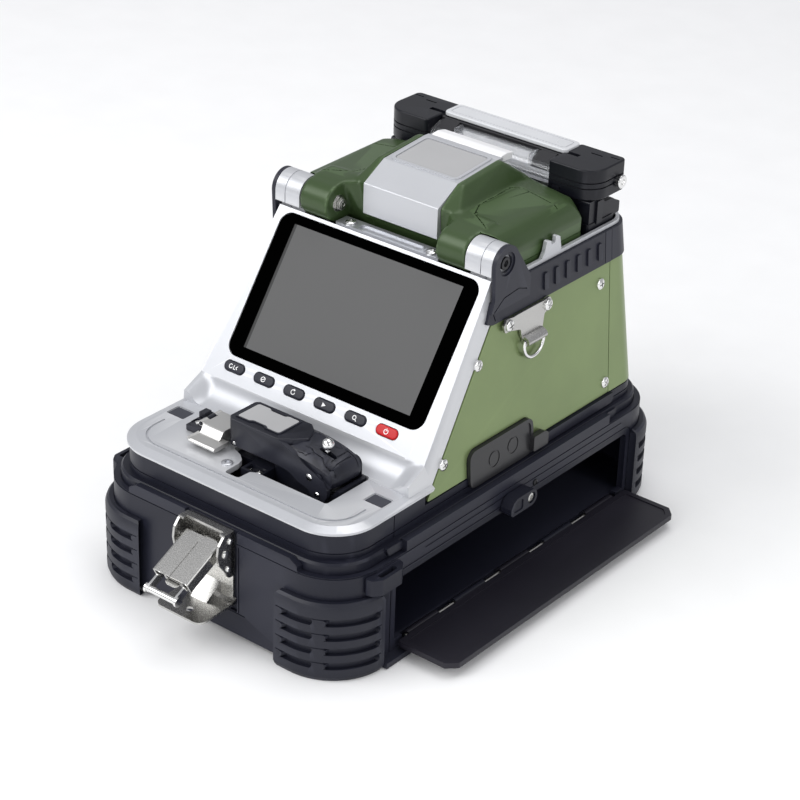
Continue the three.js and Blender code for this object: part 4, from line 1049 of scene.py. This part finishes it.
def port_cover():
    plate = common(prism(corner_cut([(-29, 62), (23, 62), (23, 82.5), (-29, 82.5)], 5.5), "x", 50, 90),
                   cut(upper_body(1.4), upper_body(-0.2)))
    rim = cut(common(prism(corner_cut([(-29, 62), (23, 62), (23, 82.5), (-29, 82.5)], 5.5), "x", 50, 90),
                     cut(upper_body(2.1), upper_body(1.0))),
              prism(corner_cut([(-27.2, 60), (21.2, 60), (21.2, 80.7), (-27.2, 80.7)], 4.5), "x", 50, 90))
    tab = prism(corner_cut([(21, 63.6), (33.4, 63.6), (33.4, 70.4), (30, 72.2), (21, 72.2)], 1.2), "x",
                75.6, 78.8)
    plate = join(plate, rim, tab)
    marks = [cut(rod("x", 76.2, y, z, 4.6, 5), rod("x", 76.2, y, z, 3.7, 8)) for y, z in ((-9, 71.6), (6.5, 72.8))]
    plate = cut(plate, box(0, 75.3, -200, 200, 0, 68.2), common(join(*marks), skin(3, 1.05)))
    return plate


strap_lug(1)
strap_lug(-1)
piece("port_flap", port_cover(), PORT, "port_cover", bevel=0.35, replaces=["port_cover"])


# ------------------------------------------------------------------ wind cover
def applied(obj):
    """The same solid with its modifiers made real."""
    bpy.context.view_layer.update()
    mesh = bpy.data.meshes.new_from_object(obj.evaluated_get(bpy.context.evaluated_depsgraph_get()))
    obj.modifiers.clear()
    old = obj.data
    obj.data = mesh
    bpy.data.meshes.remove(old)
    return obj


def softened(obj, width, steps=3, limit=12):
    """Rounds a solid's edges before it is cut further."""
    edge = obj.modifiers.new("soft", "BEVEL")
    edge.width, edge.segments = width, steps
    edge.limit_method, edge.angle_limit = "ANGLE", math.radians(limit)
    return applied(obj)


COVER_X, COVER_Z, COVER_REAR, COVER_FRONT, CENTRE_X = 64, 161.2, 72, 12, 23.6
TOP_TILT = math.degrees(math.atan2(2.8, 31.8))


def on_cover_top(obj):
    """From a level plane at Z 194.5 to the rising top of the silver centre."""
    return turned(obj, "x", TOP_TILT, (0, 20.8, 194.5))


def cover_body():
    """Both wings, sculpted: a crest beside the centre, a plateau, an ear round the hinge."""
    front, rear, low = COVER_FRONT, COVER_REAR, COVER_Z
    crest = hull([
        (20, 7.2, 185.2), (24, 7.2, 185.4), (20, 20.8, 194.8), (27.2, 20.8, 194.8), (20, 53, 197.6),
        (27.2, 53, 197.6), (20, rear, 186.2), (27, rear, 185.4), (20, rear, 170), (20, 8.9, 166),
        (24, 8.9, 166), (33.5, 10, 184), (32.5, 22, 185), (32.5, 54, 185.2), (31.5, rear, 183.6),
        (31.5, rear, 170), (33, 11, 166)])
    plateau = hull([
        (28, 9, 184.2), (35, 3.2, 184), (34, 14, 185.2), (34, 56, 185), (30, rear, 184), (52, 1.6, 183.5),
        (58.6, 3.6, 182), (59.2, 64, 182.6), (56.5, rear, 180.8), (61.8, 7, 179), (62.2, 67, 179),
        (64.2, 11, 173), (64.2, rear, 172), (64.2, front, low - 3), (64.2, rear, low - 3),
        (20, front, low - 3), (20, rear, low - 3)])
    ear = prism(arc(HINGE_Y, HINGE_Z, HINGE_R + 0.4, 92, 270) + [
        (9, 163.8), (COVER_FRONT + 3, 166), (COVER_FRONT + 3, 184.8), (8, 184.6), (3, 184.1)],
        "x", EAR_X0 - 0.2, EAR_X1 + 0.2)
    middle = prism([(9.2, 166), (9.2, 184), (22, 190.6), (52, 193.4), (rear, 187), (rear, low - 3),
                    (front, low - 3)], "x", -20.5, 20.5)
    body = join(middle, *both(crest), *both(plateau), *both(ear))
    grid = body.modifiers.new("grid", "REMESH")
    grid.mode, grid.voxel_size, grid.adaptivity = "VOXEL", 0.9, 0.0
    soft = body.modifiers.new("soft", "SMOOTH")
    soft.factor, soft.iterations = 0.5, 9
    return applied(body)


def cover_hollow():
    front, rear = COVER_FRONT, COVER_REAR
    points = []
    for side in (-1, 1):
        points += [(side * x, y, z) for x, y, z in (
            (61, front + 3, 150), (61, rear - 3, 150), (61, rear - 3, 175.5), (61, front + 5, 168),
            (54.5, rear - 3, 175.5), (53, 25, 174.5), (28, 20, 176), (28, rear - 3, 176),
            (18, 22, 181), (18, 52, 182), (18, rear - 3, 179))]
    return hull(points)


def panel_line():
    """The thin line that is sunk into the top of each wing, as a tall band."""
    path = [(52.5, 6.4), (38.8, 15.4), (34.4, 24.6), (33.0, 53), (37, 57), (60.5, 54.6)]
    return prism(line_band(path, 0.7), "z", 175, 200)


def cover_shell():
    edge = HINGE_Y + HINGE_R + 0.7
    room = prism([(-20, 150), (edge, 150)] + arc(HINGE_Y, HINGE_Z, HINGE_R + 0.7, 0, 74)
                 + [(1.8, 200), (-20, 200)], "x", BLOCK_X0 - 0.6, 90)
    body = common(cover_body(), box(-100, 100, -100, 100, COVER_Z, 300))
    seat = prism([(0, 183.7), (8.6, 183.7), (21.4, 190.9), (52.2, 193.6), (69, 193.2), (90, 190),
                  (90, 210), (0, 210)], "x", -CENTRE_X - GAP, CENTRE_X + GAP)
    body = cut(body, *both(room), box(-30, 30, 69, 90, 186, 210), rod("x", 0, HINGE_Y, HINGE_Z, 3.3, 110),
               box(-CENTRE_X - GAP, CENTRE_X + GAP, -20, 9.1, 150, FAR), seat)
    skin_cut = cut(copied(body), moved(copied(body), z=-0.6))
    side_line = prism(line_band([(COVER_FRONT - 6, 164.6), (COVER_REAR + 6, 164.6)], 0.6), "x", 40, 90)
    side_skin = cut(copied(body), moved(copied(body), x=-0.5))
    left_skin = cut(copied(body), moved(copied(body), x=0.5))
    body = cut(body, common(join(*both(panel_line())), skin_cut))
    body = cut(body, common(copied(side_line), side_skin), common(mirrored(side_line), left_skin))
    discard(side_line)
    return cut(body, cover_hollow())


def cover_centre():
    shape = corner_cut([(5.4, 169.2), (5.4, 185.8), (20.8, 194.5), (52.6, 197.3), (57.5, 197.2),
                        (57.5, 194.4), (52.3, 194), (21.5, 191.3), (8.7, 184.2), (8.7, 169.2)], 1.0)
    body = prism(shape, "x", -CENTRE_X, CENTRE_X)
    rim = cut(prism(rounded(-21.4, 21.4, 22.4, 53.0, 3.6), "z", 193.8, 195.2),
              prism(rounded(-19.8, 19.8, 24.0, 51.4, 2.4), "z", 190, 200))
    piece("cover_band", join(body, on_cover_top(rim)), SILVER, "wind_cover", bevel=0.4, steps=3,
          replaces=["wind_cover_centre"])
    plate = prism(rounded(-19.5, 19.5, 24.3, 51.1, 2.2), "z", 194.2, 194.8)
    piece("cover_label", on_cover_top(plate), LABEL, "wind_cover", bevel=0.15)
    tab = prism(corner_cut([(57.8, 194.2), (57.8, 197.2), (63, 197.6), (68.4, 196.6), (71, 194.6),
                            (71, 193.4), (66, 193.6)], 0.8), "x", -22.4, 22.4)
    tab = common(tab, prism(rounded(-22.2, 22.2, 50, 70.8, 1, 5), "z", 180, 210))
    piece("cover_tab", tab, TAB, "wind_cover", bevel=0.5, steps=3)


piece("cover_shell", cover_shell(), OLIVE, "wind_cover", bevel=0.25, steps=2, limit=40,
      replaces=["wind_cover"])
cover_centre()
for side_name, side in (("left", -1), ("right", 1)):
    nut = join(prism(circle(0, 0, 3.6, 6), "z", -0.4, 2.2), prism(circle(0, 0, 4.4, 32), "z", -0.4, 0.5),
               prism(circle(0, 0, 1.9, 24), "z", 0, 3.4))
    nut = cut(nut, prism(circle(0, 0, 1.0, 6), "z", 2.4, 5))
    piece(f"cover_nut_{side_name}", facing(nut, (side * EAR_X0, HINGE_Y, HINGE_Z), (-side, 0, 0)), STEEL,
          "wind_cover", bevel=0.2)


# ------------------------------------------------------------------ splicing stage, under the cover
def stage_parts():
    deck = cut(carried("work_deck"), rod("z", 0, 25, 160, 2.2, 10), rod("z", 0, 60, 160, 2.2, 10))
    piece("stage_plate", deck, CASE, bevel=0.3, replaces=["work_deck"])
    piece("groove_block", carried("v_groove_block"), BAR, bevel=0.3, replaces=["v_groove_block"])
    for name in ("left", "right"):
        side = 1 if name == "right" else -1
        holder = cut(carried(f"fibre_holder_{name}"), box(side * 32 - 6, side * 32 + 6, 32, 35, 168.6, 180),
                     box(side * 32 - 6, side * 32 + 6, 46.5, 49.5, 168.6, 180))
        piece(f"holder_{name}", holder, BAR, bevel=0.35, replaces=[f"fibre_holder_{name}"])
    for name in ("front", "rear"):
        piece(f"electrode_pin_{name}", carried(f"electrode_{name}"), BRASS, bevel=0.15, limit=40,
              replaces=[f"electrode_{name}"])
    piece("camera_body", carried("camera_module"), INNER, bevel=0.5, replaces=["camera_module"])
    for number, (x, y) in enumerate(((-9, 46), (9, 46), (-9, 36), (9, 36))):
        pan_screw(f"stage_screw_{number + 1}", (x, y, 168), (0, 0, 1), 1.7, spin=20 * number)


stage_parts()


# ------------------------------------------------------------------ tube heater
LID_X0, LID_X1, LID_Y0, LID_Y1, LID_Z0, LID_Z1 = 39, 67.4, 75, 104, 178.6, 195.3
LID_AXIS_Y, LID_AXIS_Z = 97.5, 185


def heater_base():
    tray = prism(rounded(-65, 65, 77, 106, 2, 10), "z", 160.3, 166)
    foot = prism(corner_cut([(77.4, 165), (77.4, 178.2), (88, 178.2), (91, 174.6), (98, 174.6),
                             (104.5, 171), (104.5, 165)], 1.2), "x", 41, 64.5)
    foot = cut(foot, rod("x", 60, 104.5, 179.5, 8.0, 40), box(50, 58, 70, 78.2, 168, 175))
    rib = box(64, 65.6, 83, 88, 165, 177.4)
    return join(tray, *both(foot), *both(rib))


def lid_end(side):
    name = "right" if side > 0 else "left"
    corner = 12
    plan = (arc(LID_X1 - corner, LID_Y0 + corner, corner, -90, 0) + arc(LID_X1 - 3, LID_Y1 - 3, 3, 0, 90)
            + arc(LID_X0 + 2, LID_Y1 - 2, 2, 90, 180) + arc(LID_X0 + 2, LID_Y0 + 2, 2, 180, 270))
    shell = prism(plan, "z", LID_Z0, LID_Z1)
    # grooves in the front, a slot in the top
    shell = softened(shell, 0.9, 3, 30)
    grooves = [cut(prism(plan, "z", z, z + 0.7), prism([(x - 0.6 * (x > 55), y + 0.6 * (y < 88)) for x, y in plan],
                                                      "z", z - 1, z + 2)) for z in (184.6, 187.6)]
    top_slot = box(50, 57, 96.6, 97.6, LID_Z1 - 0.6, LID_Z1 + 1)
    notch = box(60.5, 66, 99, 99.8, LID_Z1 - 0.6, LID_Z1 + 1)
    window = cut(box(41.5, 47.5, LID_Y0 - 1, LID_Y0 + 0.5, 180.6, 183.2),
                 box(42.2, 46.8, LID_Y0 - 2, LID_Y0 + 2, 181.3, 182.5))
    shell = cut(shell, *grooves, top_slot, notch, window, box(LID_X0 - 1, LID_X0 + 9, 88, 91, 193.9, 200))
    piece(f"lid_end_{name}", on_side(shell, side), HEATER, f"heater_lid", bevel=0.2, limit=35,
          replaces=[f"heater_lid_{name}"])
    stem = rod("x", LID_X1 + 0.5, LID_AXIS_Y, LID_AXIS_Z, 2.4, 2.6, 28)
    head = turned_profile([(0, -0.2), (3.5, -0.2), (3.6, 0.4), (3.6, 1.2), (3.2, 1.7), (1.6, 1.7),
                           (1.3, 1.0), (0, 1.0)], 36)
    head = facing(head, (LID_X1 + 1.2, LID_AXIS_Y, LID_AXIS_Z), (1, 0, 0))
    piece(f"lid_knob_{name}", on_side(join(stem, head), side), BRIGHT, "heater_lid", bevel=0.15)


def lid_bar():
    plan = corner_cut([(-38.6, 88.4), (40.4, 88.4), (40.4, 102.4), (-38.6, 102.4)], 3.4)
    upper = softened(prism(plan, "z", 194.2, 196.6), 0.7, 3, 30)
    field = cut(prism(corner_cut([(-36.2, 90.6), (38, 90.6), (38, 100.4), (-36.2, 100.4)], 2.4), "z",
                      196.2, 198), prism(corner_cut([(-35.6, 91.2), (37.4, 91.2), (37.4, 99.8), (-35.6, 99.8)], 2),
                                         "z", 190, 199))
    upper = cut(upper, field)
    piece("lid_bar", upper, FROST, "heater_lid", bevel=0, limit=40, replaces=["heater_lid_bar"])
    under = prism(corner_cut([(87.4, 189.5), (87.4, 194), (103, 194), (103, 189.5)], 0.6), "x",
                  -LID_X0 + GAP, LID_X0 - GAP)
    piece("lid_strip", under, INNER, "heater_lid", bevel=0.2)


def lid_window():
    shape = [(77.5, 184)] + [(77.5, 186.6), (78.1, 188.2), (79.4, 189.6), (81.6, 190.9), (84, 191.8),
                             (86.8, 192.4), (86.8, 190.8), (84.2, 190.2), (82.2, 189.3), (80.6, 188.2),
                             (79.6, 187), (79.3, 185.8), (79.3, 184)]
    piece("lid_window", prism(shape, "x", -LID_X0 + GAP, LID_X0 - GAP), CLEAR, "heater_lid", bevel=0.15,
          limit=50, replaces=["heater_window"])


def fibre_clamp(side):
    """The small black clip at each end of the window, with its clear lip."""
    name = "right" if side > 0 else "left"
    block = prism(corner_cut([(79.9, 186.2), (81.6, 190.4), (86.4, 192.9), (87.2, 192.9), (87.2, 188),
                              (83, 185.4)], 0.5), "x", 25, 37.6)
    block = cut(block, box(28.2, 30.2, 70, 90, 191.2, 196), box(32.4, 34.4, 70, 90, 191.2, 196))
    top = prism(corner_cut([(80.4, 190.4), (86.8, 193.6), (88.4, 193.6), (88.4, 192.8), (81, 189.6)], 0.4),
                "x", 26.4, 36.2)
    piece(f"lid_clip_{name}", on_side(join(block, top), side), INNER, "heater_lid", bevel=0.25)
    lip = box(23.6, 24.8, 79.8, 87, 186.4, 193.2)
    piece(f"lid_lip_{name}", on_side(lip, side), CLEAR, "heater_lid", bevel=0.3)


piece("heater_tray", heater_base(), HEATER, bevel=0.3, replaces=["heater_base"])
piece("heater_trough", carried("heater_plate"), BAR, bevel=0.3, replaces=["heater_plate"])
for side in (-1, 1):
    lid_end(side)
    fibre_clamp(side)
lid_bar()
lid_window()


# ------------------------------------------------------------------ cleaver
ARM_X0, ARM_Y0, ARM_Y1, ARM_TOP = -23, -96.5, -74, 94.6
ARM_PIVOT_X, ARM_PIVOT_Z = 36, 82.5


def cleaver_tub():
    tub = box(-6.5, 48, -104.6, -73.2, 62, 75.5)
    ramp = box(6, 47, ARM_Y0 - 0.5, ARM_Y1 + 0.6, 75, 77.5)
    shelf = box(-19.4, -6, -94, -73.4, 68, 74.4)
    rear_ear = prism(rounded(28, 44, 75, 87.5, 1, 4), "y", ARM_Y1 + GAP, ARM_Y1 + 0.9)
    body = cut(join(tub, ramp, shelf, rear_ear), rod("y", ARM_PIVOT_X, -85, ARM_PIVOT_Z, 2.1, 60),
               rod("y", ARM_PIVOT_X, (ARM_Y0 + ARM_Y1) / 2, ARM_PIVOT_Z, 10.2, ARM_Y1 - ARM_Y0 + 2 * GAP),
               box(-5, 5, -103, -98, 73.5, 80), box(6, 47, -103.8, ARM_Y0 + 3.2, 68, 80))
    piece("cleaver_tub", body, CLEAVER, bevel=0.3, replaces=["cleaver_base"])
    for number, (x, y, z, r) in enumerate(((-3.4, -101.5, 73.6, 1.9), (1.6, -100, 73.6, 1.6),
                                           (13, -100.8, 68, 1.8), (21, -100.8, 68, 1.6),
                                           (9, -101.4, 68, 1.3))):
        pan_screw(f"cleaver_screw_{number + 1}", (x, y, z), (0, 0, 1), r, spin=30 * number)


def arm_profile(drop):
    """Side view of the sloping part, lowered by drop along its top."""
    return ([(6, 80), (28, 79.6)] + arc(36.4, 82.8, 9.0 - drop * 0.3, -38, 40, 13)
            + [(41, 90.4 - drop), (36.5, 91.9 - drop), (31, 93.0 - drop), (24, 94.0 - drop), (12, 94.5 - drop),
               (6, 94.5 - drop)])


def cleaver_arm():
    # flat-topped head with a pointed end, the sloping part behind it and the thin front cheek
    plan = [(ARM_X0, ARM_Y0 + 2.5), (ARM_X0 + 2.5, ARM_Y0), (10, ARM_Y0), (16.5, -92), (21.5, -86.4),
            (18, -78), (13, ARM_Y1), (ARM_X0 + 2, ARM_Y1), (ARM_X0, ARM_Y1 - 2)]
    head = prism(plan, "z", 79.5, ARM_TOP)
    head = softened(head, 0.8, 3, 25)
    slope = loft([(arm_profile(5.2), -95.2), (arm_profile(3.0), -92.6), (arm_profile(0.9), -88.5),
                  (arm_profile(0.5), -78.5), (arm_profile(1.6), -75)], "y")
    cheek = [(-16, 80), (10.6, 80), (17, 79.2), (23.5, 75.8), (29.5, 74.2), (32.2, 71), (34.5, 69.6),
             (37.5, 69.4), (40, 70.8), (41.6, 74), (41.6, 77.4), (39.4, 81.2), (33.5, 84.2), (25.9, 87.3),
             (18.2, 91), (9.8, 94.2), (-16, 94.2)]
    cheek = prism(cheek, "y", ARM_Y0, ARM_Y0 + 2.6)
    body = join(head, slope, cheek)
    skin_cut = cut(copied(body), moved(copied(body), z=-0.55))
    lines = [[(20, -93.5), (25.5, -93.5), (28, -90.8), (34, -90.8), (37, -93), (50, -93)],
             [(22.4, -89.8), (26.5, -89.8), (29.6, -91.6)],
             [(20, -77.4), (27, -77.4), (30, -80.2), (35, -80.2), (38, -77.4), (50, -77.4)],
             [(38.6, -93), (38.6, -77.5)], [(41.6, -91), (41.6, -79)]]
    body = cut(body, common(join(*[prism(line_band(path, 0.7), "z", 84, 99) for path in lines]), skin_cut))
    # rim round the label
    label = label_outline(0)
    rim = cut(prism(label_outline(0.9), "z", ARM_TOP - 1, ARM_TOP + 0.55), prism(label, "z", 90, 99))
    x0, x1, y, reach = 29.5, 39, -86.6, 1.2
    slot = prism(rounded(x0, x1, y - reach, y + reach, reach - 0.02), "z", 85, 99)
    dish = loft([(rounded(x0 - 1.2, x1 + 1.2, y - 2.4, y + 2.4, 2.3), 96),
                 (rounded(x0 - 0.1, x1 + 0.1, y - 1.3, y + 1.3, 1.25), 90.6)])
    under = box(ARM_PIVOT_X - 10, 60, ARM_Y0 + 2.7, FAR, 60, 78.2)
    body = cut(join(body, rim), slot, dish, under)
    body = cut(body, box(-20, 8, -94, -77, 70, 83))
    pin = rod("y", ARM_PIVOT_X, (ARM_Y0 + ARM_Y1) / 2 + 0.7, ARM_PIVOT_Z, 1.8, ARM_Y1 - ARM_Y0)
    piece("cleaver_body", join(body, pin), CLEAVER, "cleaver_arm", bevel=0.3, limit=30,
          replaces=["cleaver_arm"])
    piece("cleaver_label", prism(label_outline(-0.15), "z", ARM_TOP - 0.3, ARM_TOP + 0.35), LABEL, "cleaver_arm",
          bevel=0.15)


def label_outline(grow):
    x0, x1, y0, y1 = -19.6 - grow, 7.6 + grow, -92.8 - grow, -76.6 + grow
    shape = [(x0, y0), (-11.5 + grow, y0), (-10 + grow, y0 + 1.4), (-1.5 - grow, y0 + 1.4), (-grow, y0),
             (x1, y0), (x1, y1), (-grow, y1), (-1.5 - grow, y1 - 1.4), (-10 + grow, y1 - 1.4),
             (-11.5 + grow, y1), (x0, y1)]
    return corner_cut(shape, 1.6)


def cleaver_bits():
    for number, (x, z, r) in enumerate(((30.4, 80.9, 1.9), (35.6, 73.0, 1.7), (-18, 81.5, 1.0))):
        rivet = turned_profile([(0, -0.4), (r, -0.4), (r, 0.2), (r * 0.7, 0.6), (0, 0.7)], 28)
        piece(f"arm_rivet_{number + 1}", facing(rivet, (x, ARM_Y0, z), (0, -1, 0)), BRIGHT, "cleaver_arm", bevel=0)
    ball = turned_profile([(3.1 * math.cos(a), 3.1 * math.sin(a)) for a in
                           (math.radians(d) for d in [-90, *range(-75, 76, 15), 90])], 36)
    moved(ball, 33.6, -86.6, 96.2)
    stem = rod("z", 33.6, -86.6, 89.4, 0.9, 8.2, 24)
    collar = rod("z", 33.6, -86.6, 93.3, 1.6, 0.9, 28)
    piece("cleaver_ball", join(ball, stem, collar), BRIGHT, "cleaver_knob", bevel=0, limit=40,
          replaces=["cleaver_knob"])


def cleaver_holder():
    x, z, r, y0, y1, knuckle = -40.4, 84.2, 1.6, -97, -81.5, 5
    middle = (y0 + y1) / 2
    block = prism(corner_cut([(-50, 77.3), (-50, 80.6), (-48, 82.3), (x + 1.3, 82.3), (x + 1.3, 77.3)], 0.5), "y",
                  y0, y1)
    block = cut(block, box(-51, -46.6, y0 - 1, y0 + 3.4, 80.4, 90), box(-51, -38, -90.2, -88.9, 81.3, 90),
                box(-48.6, -44, -94, -91.5, 80.8, 90))
    bump = prism(corner_cut([(-49.4, 80), (-49.4, 84.4), (-45.6, 84.4), (-44.6, 82), (-44.6, 80)], 0.6), "y",
                 -88.2, -83.4)
    neck = box(x - r, x + r, middle - knuckle / 2, middle + knuckle / 2, z - r - 1, z)
    body = join(block, bump, rod("y", x, middle, z, r, knuckle), neck, rod("y", x, middle, z, 0.8, y1 - y0))
    piece("holder_block", body, CLEAVER, bevel=0.25, replaces=["cleaver_seat"])
    pan_screw("holder_screw", (-44.2, -94.4, 82.3), (0, 0, 1), 1.5, spin=20)

    left, right, under, low_top, top = -38, -24.8, 79.2, 81.3, 85.4
    sheet = [(-82, under), (-82, top), (-96, top), (-97.4, 84.6), (-99.2, 82.0), (-100.4, low_top),
             (-107.2, low_top), (-108, 80.6), (-108, 79.8), (-107.2, under)]
    high = prism(sheet, "x", left, right)
    low = prism([(-97.2, under), (-97.2, low_top), (-107.2, low_top), (-108, 80.6), (-108, 79.8),
                 (-107.2, under)], "x", left, -21.2)
    lip = prism(corner_cut([(left - 0.2, under + 0.4), (left - 1.7, 81.2), (left - 1.2, 81.9), (left + 1.6, 80.8)], 0.3),
                "y", -107.6, -99.6)
    ears = join(rod("y", x, middle, z, r, y1 - y0 - 1), box(x, left + 0.5, y0 + 0.5, y1 - 0.5, z - 0.8, z + 1.2))
    ears = cut(ears, box(-60, left - 0.2, middle - knuckle / 2 - GAP, middle + knuckle / 2 + GAP, 0, FAR))
    clamp = cut(join(high, low, lip, ears), rod("y", x, -88, z, 0.8 + GAP, 60),
                box(left + 2, right - 2, -95, -85, 70, top - 1.6), box(left + 1, -23, -106.5, -99, 70, low_top - 1.4))
    piece("clamp_sheet", clamp, CLAMP_STEEL, "cleaver_clamp", bevel=0.4, steps=3, limit=30,
          replaces=["cleaver_clamp"])


cleaver_tub()
cleaver_arm()
cleaver_bits()
cleaver_holder()


# ------------------------------------------------------------------ camera, light and floor
def set_camera():
    """The viewing angle: a long lens, to the right of the front and well above it."""
    azimuth, elevation, roll = math.radians(38.15), math.radians(28.38), math.radians(1.96)
    back = Vector((math.sin(azimuth) * math.cos(elevation), -math.cos(azimuth) * math.cos(elevation),
                   math.sin(elevation)))
    right = Vector((math.cos(azimuth), math.sin(azimuth), 0))
    up = back.cross(right)
    right, up = (right * math.cos(roll) + up * math.sin(roll), up * math.cos(roll) - right * math.sin(roll))
    data = bpy.data.cameras.new("camera")
    data.lens, data.sensor_width = 108.07, 36
    data.clip_start, data.clip_end = 0.05, 20
    camera = bpy.data.objects.new("camera", data)
    bpy.context.scene.collection.objects.link(camera)
    turn = Matrix((right, up, back)).transposed().to_4x4()
    camera.matrix_world = Matrix.Translation(MIDDLE + Vector((677.3, -851.6, 661.4)) * MM) @ turn
    bpy.context.scene.camera = camera


def soft_light(name, place, target, size, power, colour=(1, 1, 1)):
    data = bpy.data.lights.new(name, "AREA")
    data.shape, data.size, data.size_y = "RECTANGLE", size[0], size[1]
    data.energy, data.color = power, colour
    light = bpy.data.objects.new(name, data)
    bpy.context.scene.collection.objects.link(light)
    here = Vector(place)
    turn = (Vector(target) - here).to_track_quat("-Z", "Y").to_matrix().to_4x4()
    light.matrix_world = Matrix.Translation(here) @ turn


def studio():
    world = bpy.data.worlds.new("studio")
    bpy.context.scene.world = world
    world.use_nodes = True
    sky = world.node_tree.nodes["Background"]
    sky.inputs["Color"].default_value = (0.95, 0.96, 1.0, 1)
    sky.inputs["Strength"].default_value = 0.5
    focus = (0, 0, 0.08)
    soft_light("key", (-0.9, -1.3, 1.5), focus, (1.3, 1.3), 22)
    soft_light("front", (0.25, -1.8, 0.75), focus, (1.6, 0.9), 10)
    soft_light("side", (1.7, -0.1, 0.9), focus, (1.2, 1.4), 8)
    soft_light("top", (0.0, 0.4, 1.9), focus, (1.6, 1.2), 12)
    bpy.context.scene.view_settings.view_transform = "Standard"

    floor = rings_solid([[(-9000, -9000, z), (9000, -9000, z), (9000, 9000, z), (-9000, 9000, z)]
                         for z in (-40, -0.05)])
    floor.name = "floor"
    floor.data.transform(Matrix.Scale(MM, 4))
    floor.data.materials.append(surface("floor_white", (0.93, 0.93, 0.93), 0.75, grain=300, bump=0.02,
                                        mottle=0.01))


set_camera()
studio()
